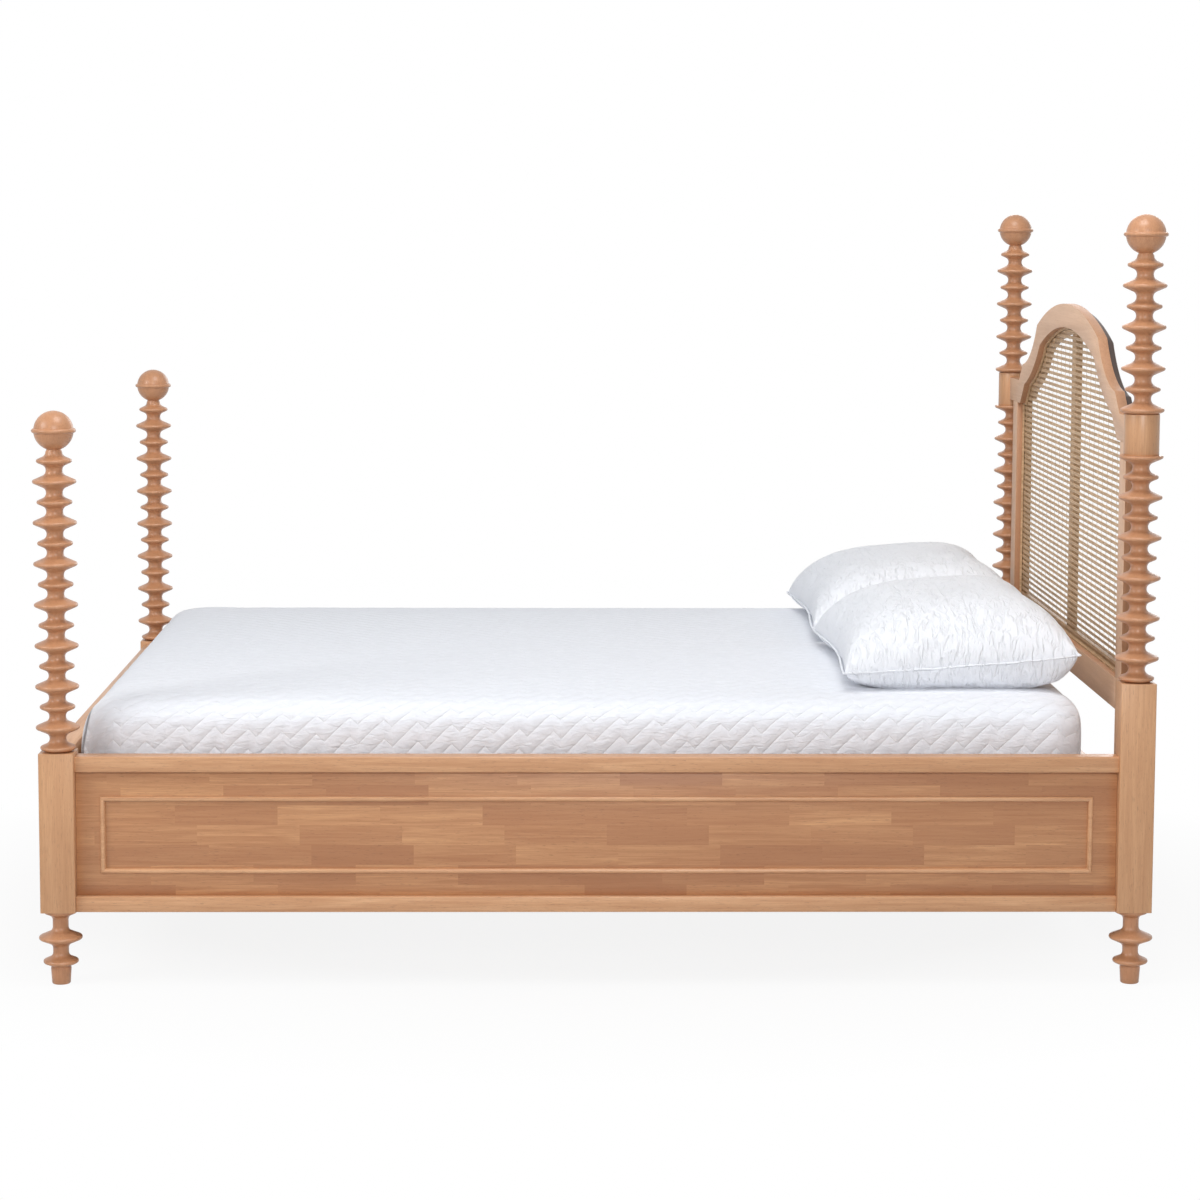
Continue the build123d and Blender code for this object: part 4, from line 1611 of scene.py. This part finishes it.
    def pillow(self, frame: dict, finishes: Finishes, side: str) -> None:
        """Sew, fill and crinkle one pillow, and lay it on the mattress.

        Args:
            frame: What the frame's loader returned.
            finishes: The bed's finishes.
            side: The side of the bed that it lies on, left or right.
        """
        node = f"pillow_{side}"
        low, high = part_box(node)
        seed = 3.7 if side == "left" else 0.0
        lower = self.bag_side("bag_under", False, seed)
        for face in lower.data.polygons:
            face.flip()
        piece = Bench.join([self.bag_side("bag_top", True, seed), lower], f"cotton_pillow_{side}")
        Bench.enter(piece)
        bpy.ops.mesh.remove_doubles(threshold=self.weld)
        bpy.ops.mesh.normals_make_consistent(inside=False)
        Bench.leave()
        self.puff(piece, self.pillow_pressure, self.pillow_steps, self.pillow_cap)
        Bench.apply(piece, "SUBSURF", levels=1, render_levels=1)
        for vertex in piece.data.vertices:
            vertex.co.z = max(vertex.co.z, 0.0)
        piece = Bench.join([piece, self.piping("piping", seed)], piece.name)
        piece.location = ((low.x + high.x) / 2, (low.y + high.y) / 2, low.z)
        Bench.settle(piece)
        bpy.ops.object.shade_smooth()
        finishes.dress(piece, "crinkled_cotton")
        Bench.ride(piece, node, "pillow_case", node)

    def build(self, frame: dict, finishes: Finishes) -> None:
        """Make the mattress and both pillows.

        Args:
            frame: What the frame's loader returned.
            finishes: The bed's finishes.
        """
        self.mattress(frame, finishes)
        for side in ("left", "right"):
            self.pillow(frame, finishes, side)


@dataclass
class Fittings:
    """Steel, plastic and webbing that keep the frame's own shapes.

    Attributes:
        finish_of: The finish of each frame node.
    """

    finish_of: dict[str, str] = field(
        default_factory=lambda: {
            "corner_brackets": "black_steel",
            "centre_beam_hangers": "black_steel",
            "bed_bolts": "black_steel",
            "centre_leg_glides": "glide_plastic",
            "slat_straps": "white_webbing",
            "headboard_dowels": "post_wood",
        }
    )

    def build(self, frame: dict, finishes: Finishes) -> None:
        """Dress each fitting's own node.

        Args:
            frame: What the frame's loader returned.
            finishes: The bed's finishes.
        """
        for node, finish in self.finish_of.items():
            finishes.dress(frame["nodes"][node], finish)
            LOG.info("%s dressed", node)


@dataclass
class Studio:
    """The camera, lamps, pale floor and white surround.

    Attributes:
        place: The camera's place.
        yaw: Its turn towards the head, in radians.
        pitch: Its tilt down, in radians.
        roll: Its turn about the view, in radians.
        lens: Its focal length on a 36 mm sensor.
        shift: Its shift across and up, in frame widths.
        aim: The point that the lamps face.
        lamps: The place, size and power of each lamp.
        sky: The colour of the surround's light.
        sky_strength: How strongly the surround lights the bed.
        floor_grey: The floor's own tone near the bed.
        floor_span: The distances over which the floor turns to plain white.
        floor_share: How white the floor is at those distances.
        floor_squash: How much shorter those distances are across the bed.
    """

    place: tuple[float, float, float] = (-0.1432, -6.7645, 1.5376)
    yaw: float = 0.01398
    pitch: float = 0.10407
    roll: float = 0.00291
    lens: float = 90.552
    shift: tuple[float, float] = (0.02627, -0.05692)
    aim: tuple[float, float, float] = (0.0, 0.0, 0.6)
    lamps: dict[str, tuple] = field(
        default_factory=lambda: {
            "overhead": ((0.15, -1.5, 4.3), 1.8, 80.0),
            "front": ((0.4, -7.2, 3.1), 1.8, 176.0),
            "side": ((-4.0, -2.5, 3.0), 1.6, 72.0),
            "rear": ((2.6, 6.5, 2.6), 3.2, 85.0),
        }
    )
    sky: tuple[float, float, float, float] = (0.92, 0.96, 1.0, 1.0)
    sky_strength: float = 0.24
    floor_grey: float = 0.74
    floor_span: tuple[float, float] = (1.0, 2.0)
    floor_share: tuple[float, float] = (0.88, 1.0)
    floor_squash: float = 1.3

    def camera(self) -> None:
        """Set the camera where the photograph was taken."""
        data = bpy.data.cameras.new("view")
        data.lens = self.lens
        data.sensor_width = 36.0
        data.shift_x, data.shift_y = self.shift
        forward = Vector(
            (
                math.sin(self.yaw) * math.cos(self.pitch),
                math.cos(self.yaw) * math.cos(self.pitch),
                -math.sin(self.pitch),
            )
        )
        level = Vector((math.cos(self.yaw), -math.sin(self.yaw), 0.0))
        upright = level.cross(forward)
        right = math.cos(self.roll) * level + math.sin(self.roll) * upright
        up = -math.sin(self.roll) * level + math.cos(self.roll) * upright
        turn = Matrix((right, up, -forward)).transposed().to_4x4()
        camera = bpy.data.objects.new("view", data)
        camera.matrix_world = Matrix.Translation(self.place) @ turn
        bpy.context.scene.collection.objects.link(camera)
        bpy.context.scene.camera = camera

    def lamp(self, name: str, place: tuple[float, float, float], size: float, power: float) -> None:
        """Hang one soft lamp that faces the bed's middle.

        Args:
            name: The lamp's name.
            place: Its place.
            size: Its width.
            power: Its power in watts.
        """
        data = bpy.data.lights.new(name, "AREA")
        data.energy = power
        data.size = size
        lamp = bpy.data.objects.new(name, data)
        lamp.location = place
        aim = Vector(self.aim) - Vector(place)
        lamp.rotation_euler = aim.to_track_quat("-Z", "Y").to_euler()
        bpy.context.scene.collection.objects.link(lamp)

    def seen(self, tree: bpy.types.NodeTree) -> Socket:
        """One where the camera, gloss or glass looks straight at the surround.

        Args:
            tree: The node tree that reads it.

        Returns:
            The output.
        """
        path = tree.nodes.new("ShaderNodeLightPath")
        either = path.outputs["Is Camera Ray"]
        for name in ("Is Glossy Ray", "Is Transmission Ray"):
            more = tree.nodes.new("ShaderNodeMath")
            more.operation = "MAXIMUM"
            tree.links.new(either, more.inputs[0])
            tree.links.new(path.outputs[name], more.inputs[1])
            either = more.outputs[0]
        return either

    def surround(self) -> None:
        """A white surround that lights the bed more softly than it looks."""
        world = bpy.data.worlds.new("surround")
        world.use_nodes = True
        bpy.context.scene.world = world
        tree = world.node_tree
        output = tree.nodes["World Output"]
        soft = tree.nodes["Background"]
        soft.inputs["Color"].default_value = self.sky
        soft.inputs["Strength"].default_value = self.sky_strength
        white = tree.nodes.new("ShaderNodeBackground")
        white.inputs["Color"].default_value = (1.0, 1.0, 1.0, 1.0)
        white.inputs["Strength"].default_value = 1.0
        mix = tree.nodes.new("ShaderNodeMixShader")
        tree.links.new(self.seen(tree), mix.inputs[0])
        tree.links.new(soft.outputs[0], mix.inputs[1])
        tree.links.new(white.outputs[0], mix.inputs[2])
        tree.links.new(mix.outputs[0], output.inputs["Surface"])

    def floor(self) -> None:
        """A pale floor that takes a soft shadow and turns to plain white away from the bed."""
        Bench.free()
        bpy.ops.mesh.primitive_plane_add(size=60.0, location=(0.0, 0.0, -0.0006))
        floor = bpy.context.active_object
        floor.name = "pale_floor"
        shader = Shader("pale_floor")
        tone = self.floor_grey
        shader.surface.inputs["Base Color"].default_value = (tone, tone, tone, 1.0)
        shader.surface.inputs["Roughness"].default_value = 0.9
        shader.surface.inputs["Specular IOR Level"].default_value = 0.0
        x, y, _ = shader.split(shader.place())
        reach = shader.node("ShaderNodeVectorMath", operation="LENGTH")
        shader.feed(reach.inputs[0], shader.vector(x, shader.maths("MULTIPLY", y, self.floor_squash), 0.0))
        white = shader.span(reach.outputs["Value"], *self.floor_span, *self.floor_share)
        share = shader.maths("MULTIPLY", white, self.seen(shader.tree))
        glow = shader.node("ShaderNodeEmission")
        mix = shader.node("ShaderNodeMixShader")
        shader.feed(mix.inputs[0], share)
        shader.feed(mix.inputs[1], shader.surface.outputs[0])
        shader.feed(mix.inputs[2], glow.outputs[0])
        shader.feed(shader.tree.nodes["Material Output"].inputs["Surface"], mix.outputs[0])
        floor.data.materials.append(shader.material)

    def build(self) -> None:
        """Set up the whole studio."""
        bpy.context.scene.view_settings.view_transform = "Standard"
        self.camera()
        self.surround()
        self.floor()
        for name, (place, size, power) in self.lamps.items():
            self.lamp(name, place, size, power)


def main() -> None:
    """Build the bed's looks over its frame, piece by piece."""
    logging.basicConfig(level=logging.INFO, format="%(name)s %(message)s")
    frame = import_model()
    Studio().build()
    finishes = Finishes()
    finishes.build()
    TurnedPosts().build(finishes)
    Joinery().build(frame, finishes)
    CaneWork().build(frame, finishes)
    SoftGoods().build(frame, finishes)
    Fittings().build(frame, finishes)


if __name__ == "__main__":
    main()
